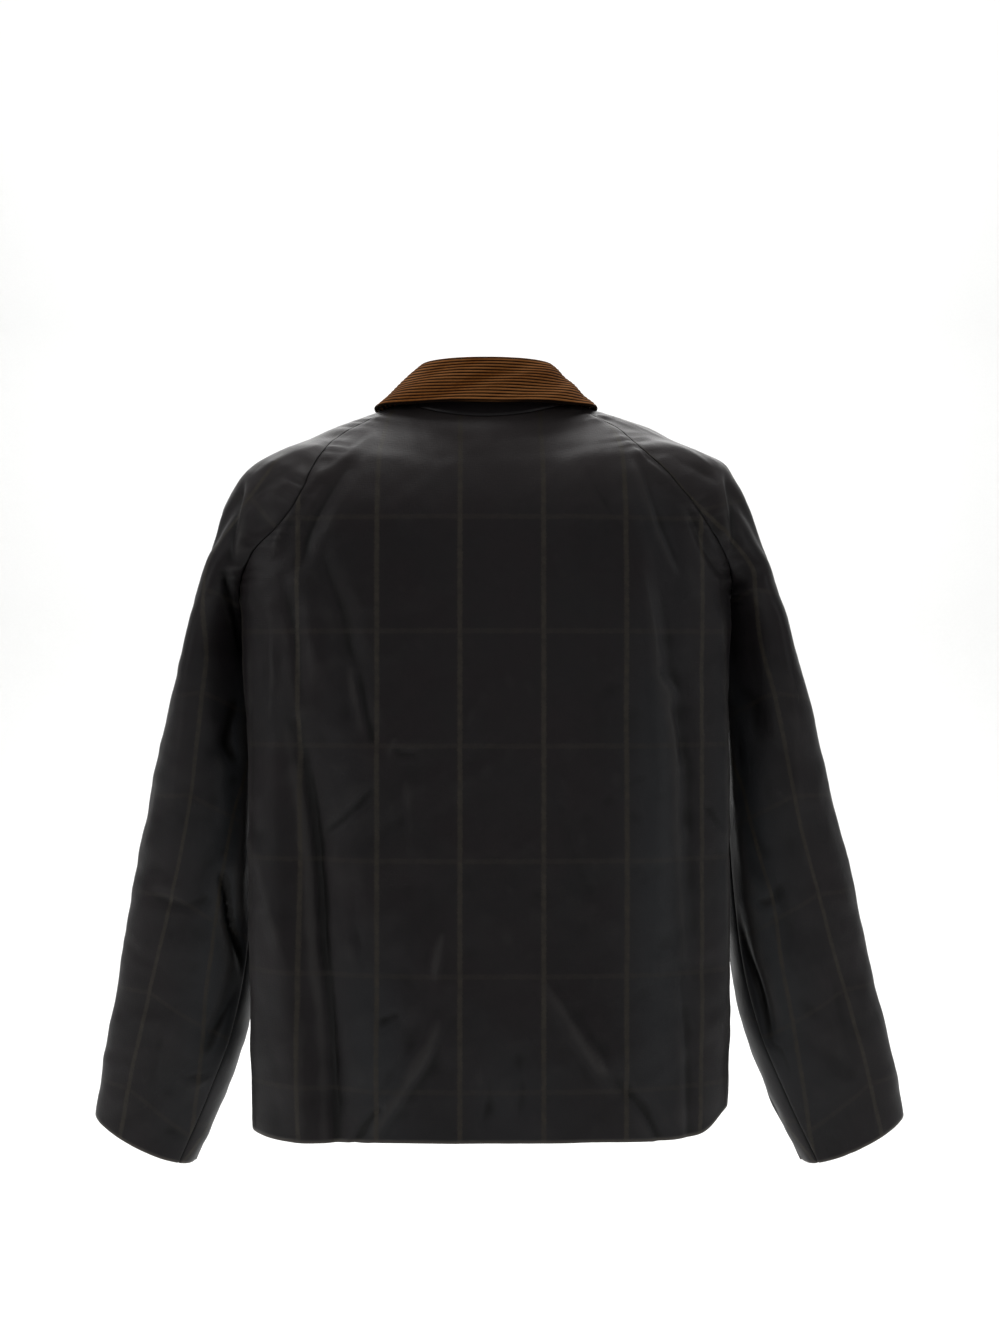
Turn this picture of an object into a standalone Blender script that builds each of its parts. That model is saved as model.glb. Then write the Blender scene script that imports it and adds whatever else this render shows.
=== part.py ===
"""Waxed cotton jacket: raglan sleeves, a corduroy collar and a zip down the front.

The jacket is hollow and keeps the form that it has on a wearer. Metres, +Z up. The front faces -Y and the
wearer's left is +X. The origin lies at the base of the neck, level with the shoulders that carry the jacket.

Each panel is one sheet of cloth with a real thickness. Its outer face is a grid: rows run up the panel and
columns run to the right, as seen from outside. The wall is laid inward from that face.
"""
import math
from collections import namedtuple

import bmesh
import bpy
import numpy as np
from mathutils import Matrix, Vector

# Cloth and seams
CLOTH = 0.0018
CORDUROY = 0.0024
SEAM_GAP = 0.0003
CREASE_OPENING = 0.12

# Grid sizes
BODY_ROWS = 16
HEAD_ROWS = 13
SLEEVE_ROWS = 17
BACK_COLUMNS = 28
FRONT_COLUMNS = 12
SLEEVE_COLUMNS = 16
COLLAR_COLUMNS = 32

# Zip
ZIP_OPENING = 0.007
TAPE_WIDTH = 0.0115
TAPE_THICKNESS = 0.0009
CHAIN_WIDTH = 0.0052
CHAIN_THICKNESS = 0.0028
CHAIN_PROUD = 0.0008
ZIP_END_CLEARANCE = 0.003
SLIDER_Z = -0.086
SLIDER_PIVOT_HEIGHT = 0.0040
PULL_LENGTH = 0.022

# Corduroy wales, counted from the roll of the collar to its lower edge
WALES = 14
WALE_HEIGHT = 0.0008

# The body below the arms, one row for each level. `wide` is half the width, at the depth `wide_y`; `back` and
# `front` are the depths of the centre lines, and the two `square` columns say how boxy each side of them is.
BodyLevel = namedtuple("BodyLevel", "z mid_x wide wide_y back front back_square front_square")
BODY = [
    BodyLevel(-0.688, 0.0000, 0.2315, 0.030, 0.122, -0.128, 2.30, 2.15),
    BodyLevel(-0.600, 0.0000, 0.2340, 0.032, 0.121, -0.130, 2.30, 2.15),
    BodyLevel(-0.480, 0.0000, 0.2340, 0.034, 0.119, -0.130, 2.30, 2.15),
    BodyLevel(-0.360, 0.0010, 0.2340, 0.035, 0.119, -0.128, 2.30, 2.15),
    BodyLevel(-0.290, 0.0025, 0.2350, 0.035, 0.120, -0.125, 2.28, 2.15),
    BodyLevel(-0.215, 0.0040, 0.2375, 0.035, 0.120, -0.120, 2.25, 2.15),
]

# How far the hem hangs down at a place across the body, or is drawn up where the drop is below 0. It fades
# out up to HEM_REACH above the hem.
HemHang = namedtuple("HemHang", "x half_width drop")
HEM_HANGS = [
    HemHang(0.1850, 0.055, 0.0055),
    HemHang(-0.1650, 0.045, 0.0020),
    HemHang(-0.2315, 0.018, -0.0190),
]
HEM_REACH = 0.13
SIDE_SEAM_TURN = -20.0

# The body above the underarm, one row for each step up the raglan seams. A turn is an angle round the body:
# 90 at the centre back, 0 at the widest place and -90 at the centre front.
HeadLevel = namedtuple(
    "HeadLevel",
    "back_z back_seam_z front_seam_z front_z mid_x wide wide_y back front back_square front_square"
    " back_left back_right front_turn",
)
HEAD = [
    HeadLevel(-0.215, -0.215, -0.215, -0.215, 0.004, 0.2375, 0.035, 0.1200, -0.1200, 2.25, 2.15, -20, -20, -20),
    HeadLevel(-0.200, -0.195, -0.196, -0.203, 0.004, 0.2385, 0.035, 0.1203, -0.1197, 2.25, 2.15, -9, -11, -23),
    HeadLevel(-0.185, -0.177, -0.178, -0.191, 0.004, 0.2390, 0.035, 0.1205, -0.1192, 2.25, 2.15, 1, -3, -26),
    HeadLevel(-0.170, -0.159, -0.163, -0.180, 0.004, 0.2395, 0.035, 0.1200, -0.1185, 2.25, 2.15, 10, 5, -29),
    HeadLevel(-0.157, -0.146, -0.150, -0.170, 0.004, 0.2400, 0.034, 0.1195, -0.1175, 2.25, 2.15, 17, 12, -32),
    HeadLevel(-0.142, -0.130, -0.135, -0.158, 0.004, 0.2405, 0.033, 0.1180, -0.1160, 2.24, 2.15, 24.5, 19.5, -36),
    HeadLevel(-0.122, -0.110, -0.117, -0.144, 0.004, 0.2400, 0.031, 0.1160, -0.1145, 2.22, 2.15, 35.5, 27.5, -41),
    HeadLevel(-0.099, -0.085, -0.094, -0.129, 0.004, 0.2395, 0.027, 0.1125, -0.1125, 2.15, 2.10, 42.5, 35.5, -45),
    HeadLevel(-0.080, -0.063, -0.074, -0.116, 0.004, 0.2380, 0.020, 0.1090, -0.1105, 2.00, 2.05, 44.5, 41, -46),
    HeadLevel(-0.058, -0.037, -0.052, -0.102, 0.004, 0.2210, 0.010, 0.1045, -0.1088, 1.80, 2.00, 43, 44, -44),
    HeadLevel(-0.044, -0.022, -0.038, -0.092, 0.004, 0.1840, 0.005, 0.1010, -0.1076, 1.68, 2.00, 35.5, 38, -41),
    HeadLevel(-0.030, -0.008, -0.026, -0.082, 0.004, 0.1480, 0.002, 0.0970, -0.1064, 1.64, 2.00, 30.5, 31, -38),
    HeadLevel(-0.017, 0.003, -0.014, -0.073, 0.004, 0.1180, 0.000, 0.0925, -0.1050, 1.80, 2.00, 30, 30, -35),
    HeadLevel(-0.004, 0.010, -0.002, -0.062, 0.004, 0.0880, 0.000, 0.0860, -0.1030, 2.10, 2.05, 32, 32, -33),
]

# The top of the sleeve beside those levels. `out` is the outermost line, down the shoulder and the arm, at
# `out_x` from a middle that leans a little to one side. `crease` is 1 where the cloth doubles back on itself
# in the armpit and 0 where it flows on from the body; `lean` turns the sleeve's depth outward at the back.
# The pulls are the handles of the curve round the arm.
CapLevel = namedtuple("CapLevel", "out_mid out_x out_y out_z crease lean seam_pull out_pull")
CAP = [
    CapLevel(0.0000, 0.2915, -0.022, -0.2150, 1.00, 0.28, 0.1000, 0.1000),
    CapLevel(0.0000, 0.2855, -0.021, -0.1950, 0.93, 0.27, 0.0800, 0.0900),
    CapLevel(0.0010, 0.2803, -0.020, -0.1760, 0.82, 0.25, 0.0620, 0.0800),
    CapLevel(0.0015, 0.2752, -0.018, -0.1570, 0.68, 0.22, 0.0480, 0.0720),
    CapLevel(0.0020, 0.2720, -0.016, -0.1380, 0.52, 0.18, 0.0410, 0.0660),
    CapLevel(0.0025, 0.2665, -0.013, -0.1170, 0.34, 0.13, 0.0380, 0.0610),
    CapLevel(0.0035, 0.2568, -0.010, -0.0835, 0.15, 0.08, 0.0380, 0.0560),
    CapLevel(0.0030, 0.2452, -0.007, -0.0580, 0.05, 0.03, 0.0400, 0.0500),
    CapLevel(-0.0005, 0.2315, -0.005, -0.0420, 0.00, 0.00, 0.0420, 0.0460),
    CapLevel(-0.0015, 0.2115, -0.003, -0.0325, 0.00, 0.00, 0.0400, 0.0420),
    CapLevel(-0.0025, 0.1805, -0.002, -0.0200, 0.00, 0.00, 0.0300, 0.0350),
    CapLevel(-0.0025, 0.1545, -0.001, -0.0070, 0.00, 0.00, 0.0220, 0.0290),
    CapLevel(-0.0010, 0.1235, 0.000, 0.0035, 0.00, 0.00, 0.0200, 0.0270),
    CapLevel(0.0030, 0.0885, 0.000, 0.0153, 0.00, 0.00, 0.0190, 0.0260),
]

# The sleeve below the underarm, a ring for each row: its outer and inner points from their middles, half its
# depth, how far its back lies further out than its middle and how much lower. `seam_turn` is how far the
# underarm seam has moved round to the back.
SleeveRing = namedtuple(
    "SleeveRing", "out_mid out_x out_z in_mid in_x in_z mid_y half_depth lean dip seam_turn"
)
SLEEVE = [
    SleeveRing(0.0000, 0.2915, -0.215, 0.0040, 0.2241, -0.215, -0.0221, 0.075, 0.28, 0.000, 0),
    SleeveRing(-0.0003, 0.3029, -0.245, 0.0032, 0.2285, -0.247, -0.0260, 0.073, 0.26, 0.001, 4),
    SleeveRing(0.0000, 0.3142, -0.276, 0.0015, 0.2310, -0.281, -0.0310, 0.071, 0.22, 0.002, 8),
    SleeveRing(-0.0010, 0.3332, -0.337, -0.0005, 0.2320, -0.350, -0.0380, 0.067, 0.15, 0.004, 14),
    SleeveRing(-0.0018, 0.3474, -0.397, -0.0018, 0.2325, -0.417, -0.0440, 0.062, 0.09, 0.005, 20),
    SleeveRing(-0.0034, 0.3630, -0.458, -0.0031, 0.2345, -0.483, -0.0490, 0.058, 0.04, 0.006, 26),
    SleeveRing(-0.0044, 0.3760, -0.519, -0.0044, 0.2400, -0.546, -0.0540, 0.054, 0.00, 0.006, 31),
    SleeveRing(-0.0069, 0.3887, -0.580, -0.0057, 0.2520, -0.609, -0.0600, 0.050, 0.00, 0.006, 36),
    SleeveRing(-0.0085, 0.4035, -0.640, -0.0070, 0.2755, -0.674, -0.0670, 0.045, 0.00, 0.006, 40),
    SleeveRing(-0.0097, 0.4142, -0.699, -0.0082, 0.3102, -0.748, -0.0750, 0.040, 0.00, 0.006, 42),
]

# Folds on the body, each a straight trough or ridge between two places, as seen square on.
BodyFold = namedtuple("BodyFold", "x0 z0 x1 z1 half_width height")
BACK_FOLDS = [
    BodyFold(0.189, -0.310, 0.158, -0.640, 0.016, -0.0060),
    BodyFold(0.158, -0.560, 0.150, -0.700, 0.015, -0.0060),
    BodyFold(0.212, -0.330, 0.182, -0.660, 0.020, 0.0040),
    BodyFold(0.155, -0.160, 0.118, -0.290, 0.018, -0.0050),
    BodyFold(0.178, -0.155, 0.135, -0.290, 0.018, 0.0035),
    BodyFold(-0.175, -0.260, -0.180, -0.520, 0.015, -0.0060),
    BodyFold(-0.145, -0.280, -0.150, -0.620, 0.026, 0.0040),
    BodyFold(-0.135, -0.050, -0.172, -0.160, 0.015, -0.0045),
    BodyFold(-0.160, -0.230, -0.176, -0.320, 0.014, -0.0045),
    BodyFold(0.055, -0.490, 0.120, -0.670, 0.020, 0.0035),
    BodyFold(-0.060, -0.540, -0.130, -0.640, 0.020, 0.0030),
]
FRONT_FOLDS = [
    BodyFold(0.170, -0.160, 0.110, -0.330, 0.020, -0.0050),
    BodyFold(-0.176, -0.170, -0.120, -0.300, 0.020, -0.0045),
    BodyFold(0.150, -0.380, 0.128, -0.690, 0.018, -0.0050),
    BodyFold(-0.140, -0.340, -0.155, -0.640, 0.018, -0.0055),
    BodyFold(0.070, -0.430, 0.105, -0.640, 0.022, 0.0035),
    BodyFold(-0.075, -0.480, -0.050, -0.680, 0.022, 0.0035),
]

# Folds on a sleeve. A turn is 0 on the outside of the arm, 90 at its back and -90 at its front.
SleeveFold = namedtuple("SleeveFold", "turn0 z0 turn1 z1 half_width height")
LEFT_SLEEVE_FOLDS = [
    SleeveFold(75.0, -0.060, 55.0, -0.150, 0.012, -0.0045),
    SleeveFold(130.0, -0.300, 60.0, -0.390, 0.016, -0.0045),
    SleeveFold(150.0, -0.400, 80.0, -0.500, 0.018, -0.0050),
    SleeveFold(-140.0, -0.380, -60.0, -0.460, 0.017, -0.0045),
    SleeveFold(-150.0, -0.480, -90.0, -0.540, 0.016, -0.0040),
    SleeveFold(130.0, -0.640, 70.0, -0.690, 0.013, -0.0035),
]
RIGHT_SLEEVE_FOLDS = [
    SleeveFold(80.0, -0.055, 60.0, -0.140, 0.012, -0.0045),
    SleeveFold(125.0, -0.280, 50.0, -0.360, 0.017, -0.0045),
    SleeveFold(150.0, -0.430, 85.0, -0.520, 0.018, -0.0050),
    SleeveFold(-130.0, -0.360, -50.0, -0.450, 0.017, -0.0045),
    SleeveFold(-150.0, -0.500, -80.0, -0.570, 0.016, -0.0040),
    SleeveFold(120.0, -0.600, 60.0, -0.650, 0.014, -0.0035),
]

# The collar round the neck, at the centre back, the side and the centre front. The stand rises from the neck
# seam to its top; the fall rolls over that top and comes down to its own lower edge.
CollarRing = namedtuple("CollarRing", "mid_x wide back front back_z side_z front_z square")
STAND_TOP = CollarRing(0.0030, 0.0625, 0.0640, -0.0920, 0.0500, 0.0500, -0.0240, 2.10)
FALL_EDGE = CollarRing(0.0040, 0.1105, 0.0955, -0.1230, 0.0095, 0.0120, -0.0840, 2.15)
COLLAR_DIP = 2.6
ROLL_INNER_RADIUS = 0.0014
FALL_POINT_X = 0.028

WAXED_COTTON = ("waxed_cotton", (0.012, 0.0105, 0.0110), 0.55, 0.0)
CORDUROY_BROWN = ("corduroy_brown", (0.085, 0.033, 0.010), 0.90, 0.0)
ZIP_TAPE = ("zip_tape", (0.006, 0.006, 0.006), 0.85, 0.0)
BRASS = ("zip_brass", (0.52, 0.37, 0.16), 0.38, 1.0)


def smooth_line(keys, values, at):
    """Values at the places `at`, on a smooth line through a table's values that never overshoots them."""
    keys = np.asarray(keys, dtype=float)
    values = np.asarray(values, dtype=float)
    step = np.diff(keys)
    slope = np.diff(values) / step
    lean = np.zeros_like(values)
    before, after = slope[:-1], slope[1:]
    same = before * after > 0
    lean[1:-1][same] = 2 * before[same] * after[same] / (before[same] + after[same])
    lean[0], lean[-1] = slope[0], slope[-1]
    place = np.clip(np.searchsorted(keys, at, side="right") - 1, 0, len(step) - 1)
    t = (at - keys[place]) / step[place]
    low, high = values[place], values[place + 1]
    ease = t * t * (3 - 2 * t)
    pull = t * (1 - t) * ((1 - t) * lean[place] - t * lean[place + 1]) * step[place]
    return low + (high - low) * ease + pull


def spread_rows(table, keys, count):
    """A table's rows spread over count + 1 even steps of its keys."""
    at = np.linspace(keys[0], keys[-1], count + 1)
    columns = [smooth_line(keys, column, at) for column in zip(*table)]
    return [type(table[0])(*row) for row in zip(*columns)]


def unit(vectors):
    """The same vectors at length 1."""
    return vectors / np.linalg.norm(vectors, axis=-1, keepdims=True)


def section(level, turns, side):
    """Plan view of the body's section at some turns, on the wearer's left (side 1) or right (side -1)."""
    cosine = np.cos(np.radians(turns))
    sine = np.sin(np.radians(turns))
    power = 2.0 / np.where(sine >= 0, level.back_square, level.front_square)
    depth = np.where(sine >= 0, level.back - level.wide_y, level.wide_y - level.front)
    x = level.mid_x + side * level.wide * np.abs(cosine) ** power
    y = level.wide_y + depth * np.sign(sine) * np.abs(sine) ** power
    return x, y


def section_row(level, turns, side, seam_turn, seam_z, centre_z):
    """Points of one row, whose height goes from the seam's to the centre line's."""
    x, y = section(level, turns, side)
    sine = np.abs(np.sin(np.radians(turns)))
    seam_sine = abs(math.sin(math.radians(seam_turn)))
    rise = np.clip((sine - seam_sine) / (1 - seam_sine), 0, 1) ** 1.5
    rise = np.where(np.sign(turns) == math.copysign(1, centre_sign(turns)), rise, 0)
    return np.stack([x, y, seam_z + (centre_z - seam_z) * rise], axis=-1)


def centre_sign(turns):
    """1 for a row that ends at the centre back and -1 for one that ends at the centre front."""
    return 1.0 if turns[np.argmax(np.abs(turns))] > 0 else -1.0


def body_levels():
    """Every level of the body from the hem to the neck, as rows that both the back and the fronts follow."""
    low = spread_rows(BODY, [level.z for level in BODY], BODY_ROWS)
    low = [
        HeadLevel(v.z, v.z, v.z, v.z, *v[1:], SIDE_SEAM_TURN, SIDE_SEAM_TURN, SIDE_SEAM_TURN)
        for v in low[:-1]
    ]
    return low + spread_rows(HEAD, range(len(HEAD)), HEAD_ROWS)


def hang_hem(grid):
    """The grid with its hem let down or drawn up over the sides of the body."""
    low = np.clip(1 - (grid[..., 2] - BODY[0].z) / HEM_REACH, 0, 1) ** 2
    for hang in HEM_HANGS:
        grid[..., 2] -= hang.drop * low * np.exp(-((grid[..., 0] - hang.x) / hang.half_width) ** 2)
    return grid


def back_grid(levels):
    """The back's outer face, from the left seam to the right seam."""
    half = BACK_COLUMNS // 2
    rows = []
    for level in levels:
        left = np.linspace(level.back_left, 90.0, half + 1)
        right = np.linspace(90.0, level.back_right, half + 1)[1:]
        left_row = section_row(level, left, 1, level.back_left, level.back_seam_z, level.back_z)
        right_row = section_row(level, right, -1, level.back_right, level.back_seam_z, level.back_z)
        rows.append(np.concatenate([left_row, right_row]))
    return hang_hem(np.array(rows))


def front_grid(levels, side):
    """One front's outer face, between its seam and the zip."""
    rows = []
    for level in levels:
        edge_cosine = (ZIP_OPENING / level.wide) ** (level.front_square / 2)
        edge_turn = -math.degrees(math.acos(edge_cosine))
        turns = np.linspace(edge_turn, level.front_turn, FRONT_COLUMNS + 1)
        row = section_row(level, turns, side, level.front_turn, level.front_seam_z, level.front_z)
        rows.append(row if side > 0 else row[::-1])
    return hang_hem(np.array(rows))


def curve_points(start, start_pull, end_pull, end, count):
    """Points along a cubic curve between two places, each with the handle that it leaves or arrives by."""
    t = np.linspace(0, 1, count + 1)[:, None]
    a, b, c, d = start, start + start_pull, end + end_pull, end
    return a * (1 - t) ** 3 + 3 * b * t * (1 - t) ** 2 + 3 * c * t * t * (1 - t) + d * t ** 3


def leaving_direction(seam, out, normal, crease, fold_back):
    """Direction in which the sleeve leaves its seam, from flowing on in the body's plane to folding back."""
    flow = out - seam
    flow = unit(flow - normal * np.dot(flow, normal))
    return unit((1 - crease) * flow + crease * fold_back)


def sleeve_rings(side):
    """Rows of a sleeve below the underarm, from the cuff up, running from the front of the underarm seam."""
    rows = []
    for ring in spread_rows(SLEEVE[::-1], [ring.out_z for ring in SLEEVE[::-1]], SLEEVE_ROWS)[:-1]:
        gap_turn = math.degrees(SEAM_GAP / 2 / ring.half_depth)
        first = -180 - ring.seam_turn + gap_turn
        turns = np.radians(np.linspace(first, first + 360 - 2 * gap_turn, SLEEVE_COLUMNS + 1))
        out = np.array([ring.out_mid + side * ring.out_x, ring.mid_y, ring.out_z])
        inner = np.array([ring.in_mid + side * ring.in_x, ring.mid_y, ring.in_z])
        deep = np.array([side * ring.lean * ring.half_depth, ring.half_depth, -ring.dip])
        row = (out + inner) / 2 + np.cos(turns)[:, None] * (out - inner) / 2 + np.sin(turns)[:, None] * deep
        rows.append(row)
    return rows


def sleeve_grid(side, back, back_normals, front, front_normals):
    """One sleeve's outer face. `back` and `front` are the edges of the two panels that it is sewn to."""
    half = SLEEVE_COLUMNS // 2
    rows = sleeve_rings(side)
    for index, cap in enumerate(spread_rows(CAP, range(len(CAP)), HEAD_ROWS)):
        out = np.array([cap.out_mid + side * cap.out_x, cap.out_y, cap.out_z])
        deep = unit(np.array([side * cap.lean, 1.0, 0.0]))
        open_fold = unit(deep + np.array([side * CREASE_OPENING, 0.0, 0.0]))
        back_way = leaving_direction(back[index], out, back_normals[index], cap.crease, open_fold)
        front_way = leaving_direction(front[index], out, front_normals[index], cap.crease, -deep)
        from_front = curve_points(front[index], front_way * cap.seam_pull, -deep * cap.out_pull, out, half)
        to_back = curve_points(out, deep * cap.out_pull, back_way * cap.seam_pull, back[index], half)
        rows.append(np.concatenate([from_front, to_back[1:]]))
    return np.array([row if side > 0 else row[::-1] for row in rows])


def grid_normals(grid):
    """Outward normals of a grid seen from outside, rows up and columns to the right."""
    across = np.gradient(grid, axis=1)
    up = np.gradient(grid, axis=0)
    return unit(np.cross(across, up))


def fold_lift(u, v, fold_ends, half_width, height):
    """How far one fold lifts the cloth: full height along its middle, dying away at its ends and sides."""
    u0, v0, u1, v1 = fold_ends
    length2 = (u1 - u0) ** 2 + (v1 - v0) ** 2
    along = np.clip(((u - u0) * (u1 - u0) + (v - v0) * (v1 - v0)) / length2, 0, 1)
    distance2 = (u - u0 - along * (u1 - u0)) ** 2 + (v - v0 - along * (v1 - v0)) ** 2
    swell = 0.35 + 0.65 * np.sin(math.pi * along)
    return height * swell * np.exp(-distance2 / half_width ** 2)


def seam_fade(shape, columns):
    """1 inside a panel, falling to 0 at its side seams and its neck, so that neighbours still meet."""
    count = shape[1] - 1
    place = np.arange(count + 1)
    side = np.clip(np.minimum(place, count - place) / columns, 0, 1)
    row = np.arange(shape[0])
    neck = np.clip((shape[0] - 1 - row) / 3.0, 0, 1)
    return neck[:, None] * side[None, :]


def fold_body(grid, folds):
    """The grid with its folds pressed in along its normals."""
    lift = np.zeros(grid.shape[:2])
    for f in folds:
        lift += fold_lift(grid[..., 0], grid[..., 2], (f.x0, f.z0, f.x1, f.z1), f.half_width, f.height)
    return grid + grid_normals(grid) * (lift * seam_fade(grid.shape, 2.0))[..., None]


def fold_sleeve(grid, folds, side):
    """The sleeve's grid with its folds. Turns are measured round the middle of each row."""
    middle = grid.mean(axis=1, keepdims=True)
    offset = grid - middle
    turns = np.arctan2(offset[..., 1], side * offset[..., 0])
    reach = 0.06
    lift = np.zeros(grid.shape[:2])
    for f in folds:
        ends = (math.radians(f.turn0) * reach, f.z0, math.radians(f.turn1) * reach, f.z1)
        lift += fold_lift(turns * reach, grid[..., 2], ends, f.half_width, f.height)
    return grid + grid_normals(grid) * (lift * seam_fade(grid.shape, 2.0))[..., None]


def shared_normals(own, other):
    """Edge normals for a piece at a seam: halfway to its neighbour's where the two flow on from each other,
    and its own where they meet in a sharp crease."""
    likeness = np.clip((own * other).sum(axis=-1, keepdims=True), 0, 1)
    return unit(own + likeness ** 2 * other)


def draw_in(grid, first=True, last=True):
    """Moves the grid's side columns in by half a seam gap."""
    result = grid.copy()
    if first:
        result[:, 0] += unit(grid[:, 1] - grid[:, 0]) * SEAM_GAP / 2
    if last:
        result[:, -1] += unit(grid[:, -2] - grid[:, -1]) * SEAM_GAP / 2
    return result


def make_material(finish):
    """A Principled material of one finish, made once."""
    name, colour, roughness, metallic = finish
    material = bpy.data.materials.get(name)
    if material is None:
        material = bpy.data.materials.new(name)
        material.use_nodes = True
        shader = material.node_tree.nodes["Principled BSDF"]
        shader.inputs["Base Color"].default_value = (*colour, 1.0)
        shader.inputs["Roughness"].default_value = roughness
        shader.inputs["Metallic"].default_value = metallic
        material.diffuse_color = (*colour, 1.0)
    return material


def add_object(name, mesh, finish):
    """Links a mesh to the scene as one named object."""
    mesh.materials.append(make_material(finish))
    item = bpy.data.objects.new(name, mesh)
    bpy.context.scene.collection.objects.link(item)
    return item


def close_side(bm, first, second):
    """Triangles between two edges that run side by side, whatever their numbers of points."""
    i = j = 0
    while i + 1 < len(first) or j + 1 < len(second):
        if j + 1 == len(second):
            step_first = True
        elif i + 1 == len(first):
            step_first = False
        else:
            first_length = (first[i + 1].co - second[j].co).length
            step_first = first_length <= (first[i].co - second[j + 1].co).length
        if step_first:
            bm.faces.new((first[i], first[i + 1], second[j]))
            i += 1
        else:
            bm.faces.new((first[i], second[j + 1], second[j]))
            j += 1


def add_shell(name, outer, inner, finish):
    """A closed wall between an outer and an inner grid that share their number of columns."""
    bm = bmesh.new()
    outside = [[bm.verts.new(point) for point in row] for row in outer]
    inside = [[bm.verts.new(point) for point in row] for row in inner]
    columns = len(outer[0])
    for row, above in zip(outside, outside[1:]):
        for c in range(columns - 1):
            bm.faces.new((row[c], row[c + 1], above[c + 1], above[c]))
    for row, above in zip(inside, inside[1:]):
        for c in range(columns - 1):
            bm.faces.new((row[c], above[c], above[c + 1], row[c + 1]))
    for c in range(columns - 1):
        bm.faces.new((outside[0][c + 1], outside[0][c], inside[0][c], inside[0][c + 1]))
        bm.faces.new((outside[-1][c], outside[-1][c + 1], inside[-1][c + 1], inside[-1][c]))
    close_side(bm, [row[0] for row in outside], [row[0] for row in inside])
    close_side(bm, [row[-1] for row in inside], [row[-1] for row in outside])
    mesh = bpy.data.meshes.new(name)
    bm.to_mesh(mesh)
    bm.free()
    mesh.shade_smooth()
    mesh.set_sharp_from_angle(angle=math.radians(50))
    return add_object(name, mesh, finish)


def add_panel(name, outer, normals, finish, thickness=CLOTH):
    """A panel of cloth: its outer face and a wall of even thickness behind it."""
    return add_shell(name, outer, outer - normals * thickness, finish)


def build_panels():
    """Back, fronts and sleeves. Returns the body's levels, which the zip follows, and the neck edge, as points
    from the left of the centre front, round the back, to the right of it."""
    levels = body_levels()
    head = len(levels) - HEAD_ROWS - 1
    back = back_grid(levels)
    front = {side: front_grid(levels, side) for side in (1, -1)}
    back_plain = grid_normals(back)
    front_plain = {side: grid_normals(front[side]) for side in front}
    back_column = {1: 0, -1: -1}
    front_column = {1: -1, -1: 0}

    sleeve = {}
    for side, folds in ((1, LEFT_SLEEVE_FOLDS), (-1, RIGHT_SLEEVE_FOLDS)):
        b, f = back_column[side], front_column[side]
        grid = sleeve_grid(
            side, back[head:, b], back_plain[head:, b], front[side][head:, f], front_plain[side][head:, f]
        )
        sleeve[side] = fold_sleeve(grid, folds, side)
    back = fold_body(back, BACK_FOLDS)
    front = {side: fold_body(front[side], FRONT_FOLDS) for side in front}

    back_normals = grid_normals(back)
    back_shared = back_normals.copy()
    for side in (1, -1):
        b, f = back_column[side], front_column[side]
        s_back, s_front = (-1, 0) if side > 0 else (0, -1)
        front_normals = grid_normals(front[side])
        sleeve_normals = grid_normals(sleeve[side])
        front_shared = front_normals.copy()
        sleeve_shared = sleeve_normals.copy()
        low = len(sleeve[side]) - HEAD_ROWS - 1
        back_shared[:head, b] = shared_normals(back_normals[:head, b], front_normals[:head, f])
        front_shared[:head, f] = shared_normals(front_normals[:head, f], back_normals[:head, b])
        back_shared[head:, b] = shared_normals(back_normals[head:, b], sleeve_normals[low:, s_back])
        front_shared[head:, f] = shared_normals(front_normals[head:, f], sleeve_normals[low:, s_front])
        sleeve_shared[low:, s_back] = shared_normals(sleeve_normals[low:, s_back], back_normals[head:, b])
        sleeve_shared[low:, s_front] = shared_normals(sleeve_normals[low:, s_front], front_normals[head:, f])
        both = unit(sleeve_normals[:low + 1, 0] + sleeve_normals[:low + 1, -1])
        sleeve_shared[:low + 1, 0] = both
        sleeve_shared[:low + 1, -1] = both
        word = "left" if side > 0 else "right"
        add_panel(f"sleeve_{word}", draw_in(sleeve[side]), sleeve_shared, WAXED_COTTON)
        drawn = draw_in(front[side], first=side < 0, last=side > 0)
        add_panel(f"front_{word}", drawn, front_shared, WAXED_COTTON)
    add_panel("back", draw_in(back), back_shared, WAXED_COTTON)
    neck = np.concatenate([
        front[1][-1],
        sleeve[1][-1][1:],
        back[-1][1:],
        sleeve[-1][-1][1:],
        front[-1][-1][1:],
    ])
    return levels, neck


def collar_ring(ring, turns, side):
    """Points round the neck on one side, from the centre back at 90 to the centre front at -90."""
    sine = np.sin(np.radians(turns))
    cosine = np.abs(np.cos(np.radians(turns)))
    power = 2.0 / ring.square
    depth = np.where(sine >= 0, ring.back, -ring.front)
    x = ring.mid_x + side * ring.wide * cosine ** power
    y = depth * np.sign(sine) * np.abs(sine) ** power
    end_z = np.where(sine >= 0, ring.back_z, ring.front_z)
    z = ring.side_z + (end_z - ring.side_z) * np.abs(sine) ** COLLAR_DIP
    return np.stack([x, y, z], axis=-1)


def round_neck(ring, front_gap):
    """A ring's points from the left of the centre front, round the back, to the right of the centre front."""
    half = COLLAR_COLUMNS // 2
    edge = -math.degrees(math.acos((front_gap / ring.wide) ** (ring.square / 2)))
    turns = np.linspace(edge, 90.0, half + 1)
    left = collar_ring(ring, turns, 1)
    right = collar_ring(ring, turns, -1)[::-1][1:]
    return np.concatenate([left, right])


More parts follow.
